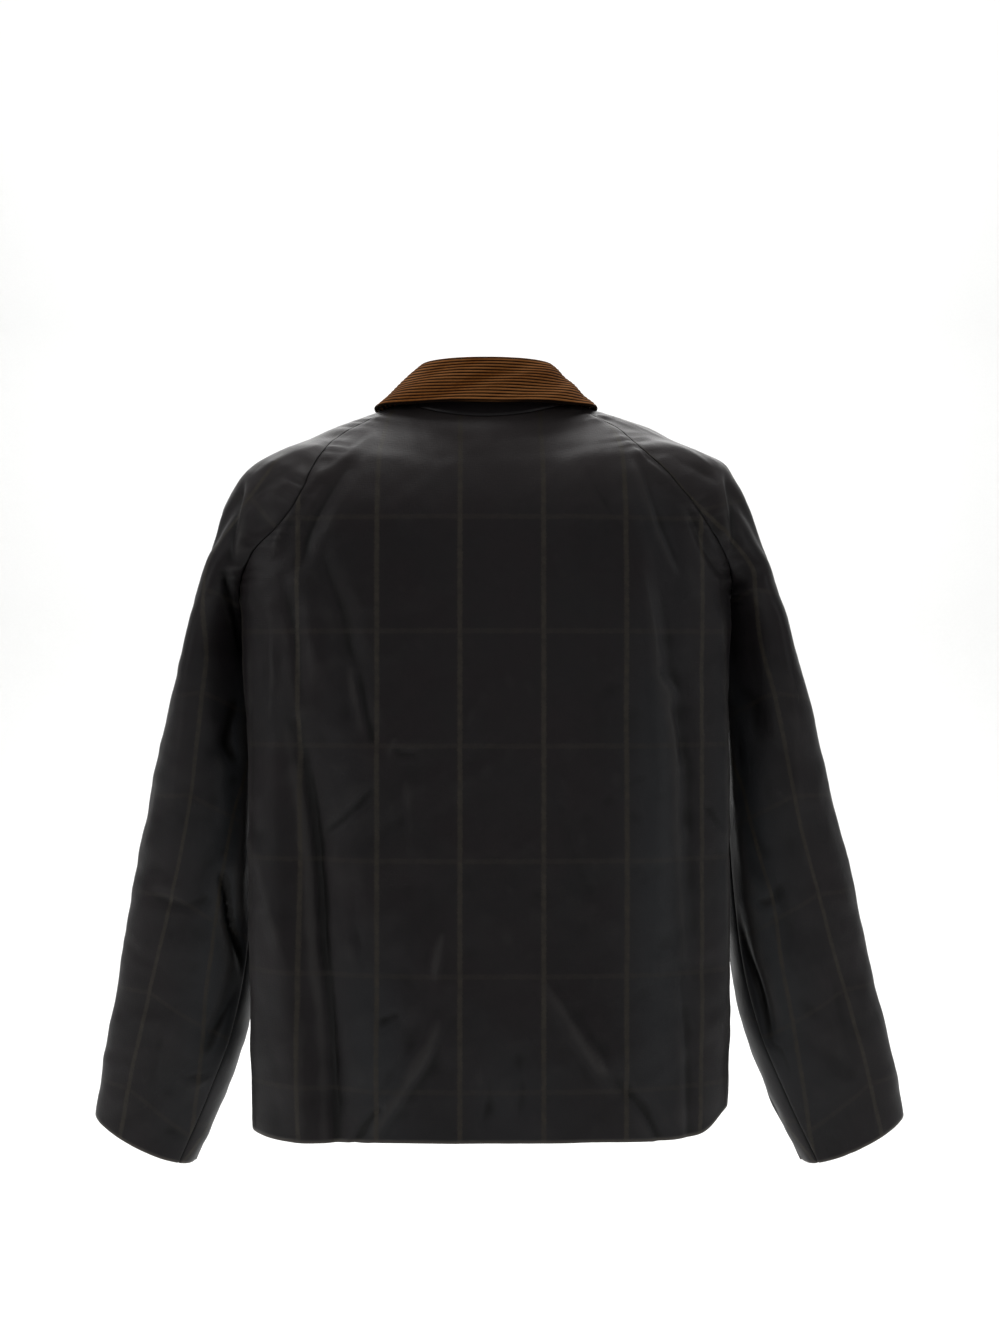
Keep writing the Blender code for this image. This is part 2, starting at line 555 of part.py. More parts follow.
def build_collar(neck):
    """The stand on the neck seam and the corduroy fall that rolls over it."""
    step = np.linalg.norm(np.diff(neck, axis=0), axis=1)
    along = np.concatenate([[0.0], np.cumsum(step)])
    at = np.linspace(0.0, along[-1], COLLAR_COLUMNS + 1)
    base = np.stack([np.interp(at, along, neck[:, k]) for k in range(3)], axis=-1)
    base[:, 2] += SEAM_GAP * 2
    top = round_neck(STAND_TOP, ZIP_OPENING)
    around = unit(np.gradient(top, axis=0))
    stand_rows = 4
    stand = np.array([base + (top - base) * r / stand_rows for r in range(stand_rows + 1)])
    outward = unit(np.cross(around, np.array([0.0, 0.0, 1.0])))
    add_panel("collar_stand", stand, np.broadcast_to(outward, stand.shape), WAXED_COTTON)

    upward = np.cross(outward, around)
    axis = top + outward * ROLL_INNER_RADIUS + upward * SEAM_GAP * 2
    edge = round_neck(FALL_EDGE, FALL_POINT_X)
    facing = grid_normals(np.array([edge, axis]))[1]
    tilt = np.arctan2((facing * upward).sum(axis=-1), (facing * outward).sum(axis=-1))
    visible = []
    hidden = []
    roll_steps = 6
    for step in range(roll_steps + 1):
        angle = (math.pi + (tilt - math.pi) * step / roll_steps)[:, None]
        direction = outward * np.cos(angle) + upward * np.sin(angle)
        visible.append(axis + direction * (ROLL_INNER_RADIUS + CORDUROY))
        if step % 2 == 0:
            hidden.append(axis + direction * ROLL_INNER_RADIUS)

    steps = 2 * WALES
    fall = np.linspace(visible[-1], edge, steps + 1)
    outside = grid_normals(fall[::-1])[::-1]
    for step in range(1, steps + 1):
        raised = WALE_HEIGHT if step % 2 else 0.0
        visible.append(fall[step] + outside[step] * raised)
        if step % 4 == 0:
            hidden.append(fall[step] - outside[step] * CORDUROY)
    add_shell("collar_fall", np.array(visible)[::-1], np.array(hidden)[::-1], CORDUROY_BROWN)


def swept_strip(name, centres, half_width, front_y, back_y, finish):
    """A strip that follows the centre front: its middle line, its width and its two faces in depth."""
    outer = []
    inner = []
    for x, y, z in centres:
        outer.append([(x - half_width, y + front_y, z), (x + half_width, y + front_y, z)])
        inner.append([(x - half_width, y + back_y, z), (x + half_width, y + back_y, z)])
    return add_shell(name, np.array(outer), np.array(inner), finish)


def block_mesh(name, xs, ys, zs, filled):
    """A closed mesh of the filled cells of a small grid of blocks. `filled` says which cells by index."""
    bm = bmesh.new()
    corners = {}

    def corner(i, j, k):
        if (i, j, k) not in corners:
            corners[i, j, k] = bm.verts.new((xs[i], ys[j], zs[k]))
        return corners[i, j, k]

    sides = {
        (-1, 0, 0): ((0, 0, 0), (0, 0, 1), (0, 1, 1), (0, 1, 0)),
        (1, 0, 0): ((1, 0, 0), (1, 1, 0), (1, 1, 1), (1, 0, 1)),
        (0, -1, 0): ((0, 0, 0), (1, 0, 0), (1, 0, 1), (0, 0, 1)),
        (0, 1, 0): ((0, 1, 0), (0, 1, 1), (1, 1, 1), (1, 1, 0)),
        (0, 0, -1): ((0, 0, 0), (0, 1, 0), (1, 1, 0), (1, 0, 0)),
        (0, 0, 1): ((0, 0, 1), (1, 0, 1), (1, 1, 1), (0, 1, 1)),
    }
    for cell in filled:
        for step, ring in sides.items():
            beside = tuple(c + s for c, s in zip(cell, step))
            if beside not in filled:
                bm.faces.new([corner(*(c + r for c, r in zip(cell, place))) for place in ring])
    bmesh.ops.dissolve_limit(bm, angle_limit=0.01, verts=bm.verts[:], edges=bm.edges[:])
    mesh = bpy.data.meshes.new(name)
    bm.to_mesh(mesh)
    bm.free()
    return mesh


def build_zip(levels):
    """Tapes under the front edges, the chain between them, and a slider with a pull that hangs from it."""
    line = np.array([(v.mid_x, v.front, v.front_z) for v in levels])
    line[0, 2] += ZIP_END_CLEARANCE
    line[-1, 2] -= ZIP_END_CLEARANCE
    tape_offset = CHAIN_WIDTH / 2 + SEAM_GAP + TAPE_WIDTH / 2
    tape_front = CLOTH + SEAM_GAP * 2
    for side, word in ((1, "left"), (-1, "right")):
        shifted = line + np.array([side * tape_offset, 0.0, 0.0])
        swept_strip(f"zip_tape_{word}", shifted, TAPE_WIDTH / 2, tape_front, tape_front + TAPE_THICKNESS, ZIP_TAPE)
    chain_front = -CHAIN_PROUD
    swept_strip("zip_chain", line, CHAIN_WIDTH / 2, chain_front, chain_front + CHAIN_THICKNESS, BRASS)

    heights = line[:, 2]
    slider_x = float(np.interp(SLIDER_Z, heights, line[:, 0]))
    slider_y = float(np.interp(SLIDER_Z, heights, line[:, 1])) + chain_front - SEAM_GAP
    below = float(np.interp(SLIDER_Z - 0.006, heights, line[:, 1]))
    above = float(np.interp(SLIDER_Z + 0.006, heights, line[:, 1]))
    slope = math.atan2(above - below, 0.012)

    plate_x = (-0.0046, -0.0012, 0.0012, 0.0046)
    face_y = (-0.0063, -0.0053, -0.0016, 0.0)
    up_z = (-0.0075, -0.0034, -0.0022, 0.0022, 0.0034, 0.0060)
    plate = {(i, 2, k) for i in range(3) for k in range(5)}
    bridge = {(1, 1, 1), (1, 1, 3), (1, 0, 1), (1, 0, 2), (1, 0, 3)}
    slider = add_object("zip_slider", block_mesh("zip_slider", plate_x, face_y, up_z, plate | bridge), BRASS)
    slider.location = (slider_x, slider_y, SLIDER_Z)
    slider.rotation_euler = (-slope, 0.0, 0.0)

    turn = Matrix.Rotation(-slope, 4, "X")
    pivot = Vector((slider_x, slider_y, SLIDER_Z)) + turn @ Vector((0.0, -SLIDER_PIVOT_HEIGHT, 0.0))
    pull_x = (-0.0034, -0.0018, 0.0018, 0.0034)
    pull_y = (-0.0006, 0.0006)
    pull_z = (-PULL_LENGTH, -0.0190, -0.0140, -0.0070, -0.0006, 0.0006)
    bar_and_tab = {(i, 0, k) for i in range(3) for k in (0, 2, 4)}
    arms = {(i, 0, k) for i in (0, 2) for k in (1, 3)}
    pull = add_object("zip_pull", block_mesh("zip_pull", pull_x, pull_y, pull_z, bar_and_tab | arms), BRASS)
    pull.location = pivot


for item in list(bpy.data.objects):
    bpy.data.objects.remove(item, do_unlink=True)

body_rows, neck_edge = build_panels()
build_collar(neck_edge)
build_zip(body_rows)
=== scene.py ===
"""A waxed cotton jacket with raglan sleeves, a corduroy collar and a zip, filled out as on a wearer.

Metres, +Z up. The front faces -Y and the wearer's left is +X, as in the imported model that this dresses.
Each panel is a grid of points on the cloth's outer face: rows run up the panel and columns run to the
right, as seen from outside.
"""
import math
from collections import namedtuple

import bpy
import numpy as np
from mathutils import Matrix, Vector


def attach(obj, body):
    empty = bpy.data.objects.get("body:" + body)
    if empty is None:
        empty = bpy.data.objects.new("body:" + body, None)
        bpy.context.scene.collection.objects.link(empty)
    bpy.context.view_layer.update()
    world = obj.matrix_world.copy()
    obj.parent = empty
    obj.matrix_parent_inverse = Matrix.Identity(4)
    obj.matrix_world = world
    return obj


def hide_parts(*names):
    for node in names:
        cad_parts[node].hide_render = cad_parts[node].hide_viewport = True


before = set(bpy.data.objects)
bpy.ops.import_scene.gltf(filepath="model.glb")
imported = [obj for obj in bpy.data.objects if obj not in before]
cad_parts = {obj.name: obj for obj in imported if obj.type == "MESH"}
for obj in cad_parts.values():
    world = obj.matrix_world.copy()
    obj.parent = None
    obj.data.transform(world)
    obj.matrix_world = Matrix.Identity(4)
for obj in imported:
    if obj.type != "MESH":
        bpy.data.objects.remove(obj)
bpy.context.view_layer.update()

# ---------------------------------------------------------------------------------------------------------
# Camera: level, square on to the jacket's back, a little below its middle.

camera_data = bpy.data.cameras.new("camera")
camera_data.sensor_width = 36.0
camera_data.lens = 57.72
camera = bpy.data.objects.new("camera", camera_data)
camera.location = (-0.010, 2.12, -0.243)
camera.rotation_euler = (math.radians(90.0), 0.0, math.radians(180.0))
bpy.context.scene.collection.objects.link(camera)
bpy.context.scene.camera = camera

# ---------------------------------------------------------------------------------------------------------
# Form of the body: a back and two fronts of waxed cotton, sewn at the sides and to the raglan sleeves. The
# hem hangs free and the cloth stands out all round as it does on a wearer.

CLOTH = 0.0018
SEAM_GAP = 0.0003
# Cells of the cloth's grids for each cell of the model's own panels.
FINE = 7
BODY_ROWS = 16 * FINE
HEAD_ROWS = 13 * FINE
BACK_COLUMNS = 34 * FINE
FRONT_COLUMNS = 12 * FINE
SIDE_SEAM_TURN = -20.0
ZIP_OPENING = 0.007


def table(kind, rows):
    """A table's rows with their columns named."""
    return [kind(*row) for row in rows]


# The body below the arms, one row for each level. `wide` is half the width, at the depth `wide_y`; `back` and
# `front` are the depths of the centre lines, and the two `square` columns say how boxy each side of them is.
BodyLevel = namedtuple("BodyLevel", "z mid_x wide wide_y back front back_square front_square")
BODY = table(BodyLevel, [
    (-0.688, 0.0, 0.2315, 0.03, 0.122, -0.128, 2.3, 2.15),
    (-0.6, 0.0, 0.234, 0.032, 0.121, -0.13, 2.3, 2.15),
    (-0.48, 0.0, 0.234, 0.034, 0.119, -0.13, 2.3, 2.15),
    (-0.36, 0.001, 0.234, 0.035, 0.119, -0.128, 2.3, 2.15),
    (-0.29, 0.0025, 0.235, 0.035, 0.12, -0.125, 2.28, 2.15),
    (-0.215, 0.004, 0.2375, 0.035, 0.12, -0.12, 2.25, 2.15),
])

# How far the hem hangs down at a place across the body, or is drawn up where the drop is below 0. It fades
# out up to HEM_REACH above the hem.
HemHang = namedtuple("HemHang", "x half_width drop")
HEM_HANGS = table(HemHang, [
    (0.185, 0.055, 0.0055),
    (-0.165, 0.045, 0.002),
    (-0.2315, 0.018, -0.019),
])
HEM_REACH = 0.13

# The body above the underarm, one row for each step up the raglan seams. A turn is an angle round the body:
# 90 at the centre back, 0 at the widest place and -90 at the centre front.
HeadLevel = namedtuple(
    "HeadLevel",
    "back_z back_seam_z front_seam_z front_z mid_x wide wide_y back front back_square front_square"
    " back_left back_right front_turn",
)
HEAD = table(HeadLevel, [
    (-0.215, -0.215, -0.215, -0.215, 0.004, 0.2375, 0.035, 0.12, -0.12, 2.25, 2.15, -20, -20, -20),
    (-0.2, -0.195, -0.196, -0.203, 0.004, 0.2385, 0.035, 0.1203, -0.1197, 2.25, 2.15, -9, -11, -23),
    (-0.185, -0.177, -0.178, -0.191, 0.004, 0.239, 0.035, 0.1205, -0.1192, 2.25, 2.15, 1, -3, -26),
    (-0.17, -0.159, -0.163, -0.18, 0.004, 0.2395, 0.035, 0.12, -0.1185, 2.25, 2.15, 10, 5, -29),
    (-0.157, -0.146, -0.15, -0.17, 0.004, 0.24, 0.034, 0.1195, -0.1175, 2.25, 2.15, 17, 12, -32),
    (-0.142, -0.13, -0.135, -0.158, 0.004, 0.2405, 0.033, 0.118, -0.116, 2.24, 2.15, 24.5, 19.5, -36),
    (-0.122, -0.11, -0.117, -0.144, 0.004, 0.24, 0.031, 0.116, -0.1145, 2.22, 2.15, 35.5, 27.5, -41),
    (-0.099, -0.085, -0.094, -0.129, 0.004, 0.2395, 0.027, 0.1125, -0.1125, 2.15, 2.1, 42.5, 35.5, -45),
    (-0.08, -0.063, -0.074, -0.116, 0.004, 0.238, 0.02, 0.109, -0.1105, 2.0, 2.05, 44.5, 41, -46),
    (-0.058, -0.037, -0.052, -0.102, 0.004, 0.221, 0.01, 0.1045, -0.1088, 1.8, 2.0, 43, 44, -44),
    (-0.044, -0.022, -0.038, -0.092, 0.004, 0.184, 0.005, 0.101, -0.1076, 1.68, 2.0, 35.5, 38, -41),
    (-0.03, -0.008, -0.026, -0.082, 0.004, 0.148, 0.002, 0.097, -0.1064, 1.64, 2.0, 30.5, 31, -38),
    (-0.017, 0.003, -0.014, -0.073, 0.004, 0.118, 0.0, 0.0925, -0.105, 1.8, 2.0, 30, 30, -35),
    (-0.004, 0.01, -0.002, -0.062, 0.004, 0.088, 0.0, 0.086, -0.103, 2.1, 2.05, 32, 32, -33),
])


def smooth_line(keys, values, at):
    """Values at the places `at`, on a smooth line through a table's values that never overshoots them."""
    keys = np.asarray(keys, dtype=float)
    values = np.asarray(values, dtype=float)
    step = np.diff(keys)
    slope = np.diff(values) / step
    lean = np.zeros_like(values)
    before, after = slope[:-1], slope[1:]
    same = before * after > 0
    lean[1:-1][same] = 2 * before[same] * after[same] / (before[same] + after[same])
    lean[0], lean[-1] = slope[0], slope[-1]
    place = np.clip(np.searchsorted(keys, at, side="right") - 1, 0, len(step) - 1)
    t = (at - keys[place]) / step[place]
    low, high = values[place], values[place + 1]
    ease = t * t * (3 - 2 * t)
    pull = t * (1 - t) * ((1 - t) * lean[place] - t * lean[place + 1]) * step[place]
    return low + (high - low) * ease + pull


def spread_rows(rows, keys, count):
    """A table's rows spread over count + 1 even steps of its keys."""
    at = np.linspace(keys[0], keys[-1], count + 1)
    columns = [smooth_line(keys, column, at) for column in zip(*rows)]
    return [type(rows[0])(*row) for row in zip(*columns)]


def unit(vectors):
    """The same vectors at length 1."""
    return vectors / np.linalg.norm(vectors, axis=-1, keepdims=True)


def length_along(line):
    """Length along a line of points, from its first one."""
    return np.concatenate([[0.0], np.cumsum(np.linalg.norm(np.diff(line, axis=0), axis=1))])


def points_at(at, lengths, line):
    """Points of a line at the lengths `at` along it."""
    return np.stack([np.interp(at, lengths, line[:, k]) for k in range(3)], axis=-1)


def section_row(level, turns, side, seam_turn, seam_z, centre_z):
    """One row of the body on the wearer's left (side 1) or right (side -1). Its height goes from the seam's
    to the centre line's."""
    cosine = np.cos(np.radians(turns))
    sine = np.sin(np.radians(turns))
    power = 2.0 / np.where(sine >= 0, level.back_square, level.front_square)
    depth = np.where(sine >= 0, level.back - level.wide_y, level.wide_y - level.front)
    x = level.mid_x + side * level.wide * np.abs(cosine) ** power
    y = level.wide_y + depth * np.sign(sine) * np.abs(sine) ** power
    seam_sine = abs(math.sin(math.radians(seam_turn)))
    rise = np.clip((np.abs(sine) - seam_sine) / (1 - seam_sine), 0, 1) ** 1.5
    centre = math.copysign(1, turns[np.argmax(np.abs(turns))])
    rise = np.where(np.sign(turns) == centre, rise, 0)
    return np.stack([x, y, seam_z + (centre_z - seam_z) * rise], axis=-1)


def body_levels():
    """Every level of the body from the hem to the neck, as rows that both the back and the fronts follow."""
    low = spread_rows(BODY, [level.z for level in BODY], BODY_ROWS)
    low = [
        HeadLevel(v.z, v.z, v.z, v.z, *v[1:], SIDE_SEAM_TURN, SIDE_SEAM_TURN, SIDE_SEAM_TURN)
        for v in low[:-1]
    ]
    return low + spread_rows(HEAD, range(len(HEAD)), HEAD_ROWS)


def hang_hem(grid):
    """The grid with its hem let down or drawn up over the sides of the body."""
    low = np.clip(1 - (grid[..., 2] - BODY[0].z) / HEM_REACH, 0, 1) ** 2
    for hang in HEM_HANGS:
        grid[..., 2] -= hang.drop * low * np.exp(-((grid[..., 0] - hang.x) / hang.half_width) ** 2)
    return grid


def even_row(row):
    """The same row with its points at even distances."""
    lengths = length_along(row)
    return points_at(np.linspace(0, lengths[-1], len(row)), lengths, row)


def back_grid(levels):
    """The back's outer face, from the left seam to the right seam."""
    half = BACK_COLUMNS // 2
    rows = []
    for level in levels:
        left = np.linspace(level.back_left, 90.0, half + 1)
        right = np.linspace(90.0, level.back_right, half + 1)[1:]
        left_row = section_row(level, left, 1, level.back_left, level.back_seam_z, level.back_z)
        right_row = section_row(level, right, -1, level.back_right, level.back_seam_z, level.back_z)
        join = np.concatenate([left_row[-1:], right_row])
        rows.append(np.concatenate([even_row(left_row), even_row(join)[1:]]))
    return hang_hem(np.array(rows))


def front_grid(levels, side):
    """One front's outer face, between its seam and the zip."""
    rows = []
    for level in levels:
        edge_cosine = (ZIP_OPENING / level.wide) ** (level.front_square / 2)
        edge_turn = -math.degrees(math.acos(edge_cosine))
        turns = np.linspace(edge_turn, level.front_turn, FRONT_COLUMNS + 1)
        row = section_row(level, turns, side, level.front_turn, level.front_seam_z, level.front_z)
        rows.append(even_row(row if side > 0 else row[::-1]))
    return hang_hem(np.array(rows))


def grid_normals(grid):
    """Outward normals of a grid seen from outside, rows up and columns to the right."""
    across = np.gradient(grid, axis=1)
    up = np.gradient(grid, axis=0)
    return unit(np.cross(across, up))


WORD = {1: "left", -1: "right"}
levels = body_levels()
head = len(levels) - HEAD_ROWS - 1
back = back_grid(levels)
front = {side: front_grid(levels, side) for side in (1, -1)}
BACK_COLUMN = {1: 0, -1: -1}
FRONT_COLUMN = {1: -1, -1: 0}

# ---------------------------------------------------------------------------------------------------------
# Form of the sleeves: raglan sleeves, each cut in one piece that reaches the neck, with one seam under the
# arm. The cloth doubles back on itself in the armpit and hangs forward to a plain open cuff.

SLEEVE_ROWS = 22 * FINE
SLEEVE_COLUMNS = 16 * FINE
CREASE_OPENING = 0.12
# At the armpit the rows settle into each other over ARMPIT_ROWS to each side, in ARMPIT_PASSES small steps.
ARMPIT_ROWS = 2.0 * FINE
ARMPIT_PASSES = 60

# The top of the sleeve beside the body's head levels. `out` is the outermost line, down the shoulder and the
# arm, at `out_x` from a middle that leans a little to one side. `crease` is 1 where the cloth doubles back in
# the armpit and 0 where it flows on from the body; `lean` turns the sleeve's depth outward at the back. The
# pulls are the handles of the curve round the arm.
CapLevel = namedtuple("CapLevel", "out_mid out_x out_y out_z crease lean seam_pull out_pull")
CAP = table(CapLevel, [
    (0.0, 0.2915, -0.022, -0.215, 1.0, 0.28, 0.1, 0.1),
    (0.0, 0.2855, -0.021, -0.195, 0.93, 0.27, 0.08, 0.09),
    (0.001, 0.2803, -0.02, -0.176, 0.82, 0.25, 0.062, 0.08),
    (0.0015, 0.2752, -0.018, -0.157, 0.68, 0.22, 0.048, 0.072),
    (0.002, 0.272, -0.016, -0.138, 0.52, 0.18, 0.041, 0.066),
    (0.0025, 0.2665, -0.013, -0.117, 0.34, 0.13, 0.038, 0.061),
    (0.0035, 0.2568, -0.01, -0.0835, 0.15, 0.08, 0.038, 0.056),
    (0.003, 0.2452, -0.007, -0.058, 0.05, 0.03, 0.04, 0.05),
    (-0.0005, 0.2315, -0.005, -0.042, 0.0, 0.0, 0.042, 0.046),
    (-0.0015, 0.2115, -0.003, -0.0325, 0.0, 0.0, 0.04, 0.042),
    (-0.0025, 0.1805, -0.002, -0.02, 0.0, 0.0, 0.03, 0.035),
    (-0.0025, 0.1545, -0.001, -0.007, 0.0, 0.0, 0.022, 0.029),
    (-0.001, 0.1235, 0.0, 0.0035, 0.0, 0.0, 0.02, 0.027),
    (0.003, 0.0885, 0.0, 0.0153, 0.0, 0.0, 0.019, 0.026),
])

# The sleeve below the underarm, a ring for each row: its outer and inner points from their middles, half its
# depth, how far its back lies further out than its middle and how much lower. `seam_turn` is how far the
# underarm seam has moved round to the back.
SleeveRing = namedtuple(
    "SleeveRing", "out_mid out_x out_z in_mid in_x in_z mid_y half_depth lean dip seam_turn"
)
SLEEVE = table(SleeveRing, [
    (0.0, 0.2915, -0.215, 0.004, 0.2241, -0.215, -0.0221, 0.075, 0.28, 0.0, 0),
    (-0.0003, 0.3029, -0.245, 0.0032, 0.2285, -0.247, -0.026, 0.073, 0.26, 0.001, 4),
    (0.0, 0.3142, -0.276, 0.0015, 0.231, -0.281, -0.031, 0.071, 0.22, 0.002, 8),
    (-0.001, 0.3332, -0.337, -0.0005, 0.232, -0.35, -0.038, 0.067, 0.15, 0.004, 14),
    (-0.0018, 0.3474, -0.397, -0.0018, 0.2325, -0.417, -0.044, 0.062, 0.09, 0.005, 20),
    (-0.0034, 0.363, -0.458, -0.0031, 0.2345, -0.483, -0.049, 0.058, 0.04, 0.006, 26),
    (-0.0044, 0.376, -0.519, -0.0044, 0.24, -0.546, -0.054, 0.054, 0.0, 0.006, 31),
    (-0.0069, 0.3887, -0.58, -0.0057, 0.252, -0.609, -0.06, 0.05, 0.0, 0.006, 36),
    (-0.0085, 0.4035, -0.64, -0.007, 0.2755, -0.674, -0.067, 0.045, 0.0, 0.006, 40),
    (-0.0097, 0.4142, -0.699, -0.0082, 0.3102, -0.748, -0.075, 0.04, 0.0, 0.006, 42),
])


def curve_points(start, start_pull, end_pull, end, count):
    """Points along a cubic curve between two places, each with the handle that it leaves or arrives by."""
    t = np.linspace(0, 1, count + 1)[:, None]
    a, b, c, d = start, start + start_pull, end + end_pull, end
    return a * (1 - t) ** 3 + 3 * b * t * (1 - t) ** 2 + 3 * c * t * t * (1 - t) + d * t ** 3


def leaving_direction(seam, out, normal, crease, fold_back):
    """Direction in which the sleeve leaves its seam, from flowing on in the body's plane to folding back."""
    flow = out - seam
    flow = unit(flow - normal * np.dot(flow, normal))
    return unit((1 - crease) * flow + crease * fold_back)


def sleeve_rings(side):
    """Rows of a sleeve below the underarm, from the cuff up, running from the front of the underarm seam."""
    rows = []
    for ring in spread_rows(SLEEVE[::-1], [ring.out_z for ring in SLEEVE[::-1]], SLEEVE_ROWS)[:-1]:
        gap_turn = math.degrees(SEAM_GAP / 2 / ring.half_depth)
        first = -180 - ring.seam_turn + gap_turn
        turns = np.radians(np.linspace(first, first + 360 - 2 * gap_turn, SLEEVE_COLUMNS + 1))
        out = np.array([ring.out_mid + side * ring.out_x, ring.mid_y, ring.out_z])
        inner = np.array([ring.in_mid + side * ring.in_x, ring.mid_y, ring.in_z])
        deep = np.array([side * ring.lean * ring.half_depth, ring.half_depth, -ring.dip])
        row = (out + inner) / 2 + np.cos(turns)[:, None] * (out - inner) / 2 + np.sin(turns)[:, None] * deep
        rows.append(row)
    return rows


def sleeve_grid(side, back_edge, back_normals, front_edge, front_normals):
    """One sleeve's outer face, from the edges of the two panels that it is sewn to."""
    half = SLEEVE_COLUMNS // 2
    rows = sleeve_rings(side)
    for index, cap in enumerate(spread_rows(CAP, range(len(CAP)), HEAD_ROWS)):
        out = np.array([cap.out_mid + side * cap.out_x, cap.out_y, cap.out_z])
        deep = unit(np.array([side * cap.lean, 1.0, 0.0]))
        open_fold = unit(deep + np.array([side * CREASE_OPENING, 0.0, 0.0]))
        back_way = leaving_direction(back_edge[index], out, back_normals[index], cap.crease, open_fold)
        front_way = leaving_direction(front_edge[index], out, front_normals[index], cap.crease, -deep)
        pull = deep * cap.out_pull
        from_front = curve_points(front_edge[index], front_way * cap.seam_pull, -pull, out, half)
        to_back = curve_points(out, pull, back_way * cap.seam_pull, back_edge[index], half)
        rows.append(np.concatenate([from_front, to_back[1:]]))
    grid = np.array([row if side > 0 else row[::-1] for row in rows])
    nearness = np.clip(1 - np.abs(np.arange(len(grid)) - SLEEVE_ROWS) / ARMPIT_ROWS, 0, 1)
    from_seam = np.sin(math.pi * np.arange(SLEEVE_COLUMNS + 1) / SLEEVE_COLUMNS)
    share = (nearness[1:-1, None] * np.clip(4 * from_seam, 0, 1))[..., None] / 2
    for _ in range(ARMPIT_PASSES):
        grid[1:-1] += share * ((grid[:-2] + grid[2:]) / 2 - grid[1:-1])
    return grid


back_plain = grid_normals(back)
front_plain = {side: grid_normals(front[side]) for side in front}
sleeve = {
    side: sleeve_grid(
        side,
        back[head:, BACK_COLUMN[side]],
        back_plain[head:, BACK_COLUMN[side]],
        front[side][head:, FRONT_COLUMN[side]],
        front_plain[side][head:, FRONT_COLUMN[side]],
    )
    for side in (1, -1)
}

# ---------------------------------------------------------------------------------------------------------
# Folds: what sets the cloth as it is worn. Broad folds that the model's own panels have, then the sharper
# creases that a waxed cloth keeps: troughs from the armpits and elbows, soft diagonals over the hem, and
# puckers along the raglan seams.

BodyFold = namedtuple("BodyFold", "x0 z0 x1 z1 half_width height")
BACK_FOLDS = table(BodyFold, [
    (0.189, -0.31, 0.158, -0.64, 0.016, -0.006),
    (0.158, -0.56, 0.15, -0.7, 0.015, -0.006),
    (0.212, -0.33, 0.182, -0.66, 0.02, 0.004),
    (0.155, -0.16, 0.118, -0.29, 0.018, -0.005),
    (0.178, -0.155, 0.135, -0.29, 0.018, 0.0035),
    (-0.175, -0.26, -0.18, -0.52, 0.015, -0.006),
    (-0.145, -0.28, -0.15, -0.62, 0.026, 0.004),
    (-0.135, -0.05, -0.172, -0.16, 0.015, -0.0045),
    (-0.16, -0.23, -0.176, -0.32, 0.014, -0.0045),
    (0.055, -0.49, 0.12, -0.67, 0.02, 0.0035),
    (-0.06, -0.54, -0.13, -0.64, 0.02, 0.003),
])
FRONT_FOLDS = table(BodyFold, [
    (0.17, -0.16, 0.11, -0.33, 0.02, -0.005),
    (-0.176, -0.17, -0.12, -0.3, 0.02, -0.0045),
    (0.15, -0.38, 0.128, -0.69, 0.018, -0.005),
    (-0.14, -0.34, -0.155, -0.64, 0.018, -0.0055),
    (0.07, -0.43, 0.105, -0.64, 0.022, 0.0035),
    (-0.075, -0.48, -0.05, -0.68, 0.022, 0.0035),
])

# A turn is 0 on the outside of the arm, 90 at its back and -90 at its front.
SleeveFold = namedtuple("SleeveFold", "turn0 z0 turn1 z1 half_width height")
SLEEVE_FOLDS = {
    1: table(SleeveFold, [
        (75.0, -0.06, 55.0, -0.15, 0.012, -0.0045),
        (130.0, -0.3, 60.0, -0.39, 0.016, -0.0045),
        (150.0, -0.4, 80.0, -0.5, 0.018, -0.005),
        (-140.0, -0.38, -60.0, -0.46, 0.017, -0.0045),
        (-150.0, -0.48, -90.0, -0.54, 0.016, -0.004),
        (130.0, -0.64, 70.0, -0.69, 0.013, -0.0035),
    ]),
    -1: table(SleeveFold, [
        (80.0, -0.055, 60.0, -0.14, 0.012, -0.0045),
        (125.0, -0.28, 50.0, -0.36, 0.017, -0.0045),
        (150.0, -0.43, 85.0, -0.52, 0.018, -0.005),
        (-130.0, -0.36, -50.0, -0.45, 0.017, -0.0045),
        (-150.0, -0.5, -80.0, -0.57, 0.016, -0.004),
        (120.0, -0.6, 60.0, -0.65, 0.014, -0.0035),
    ]),
}

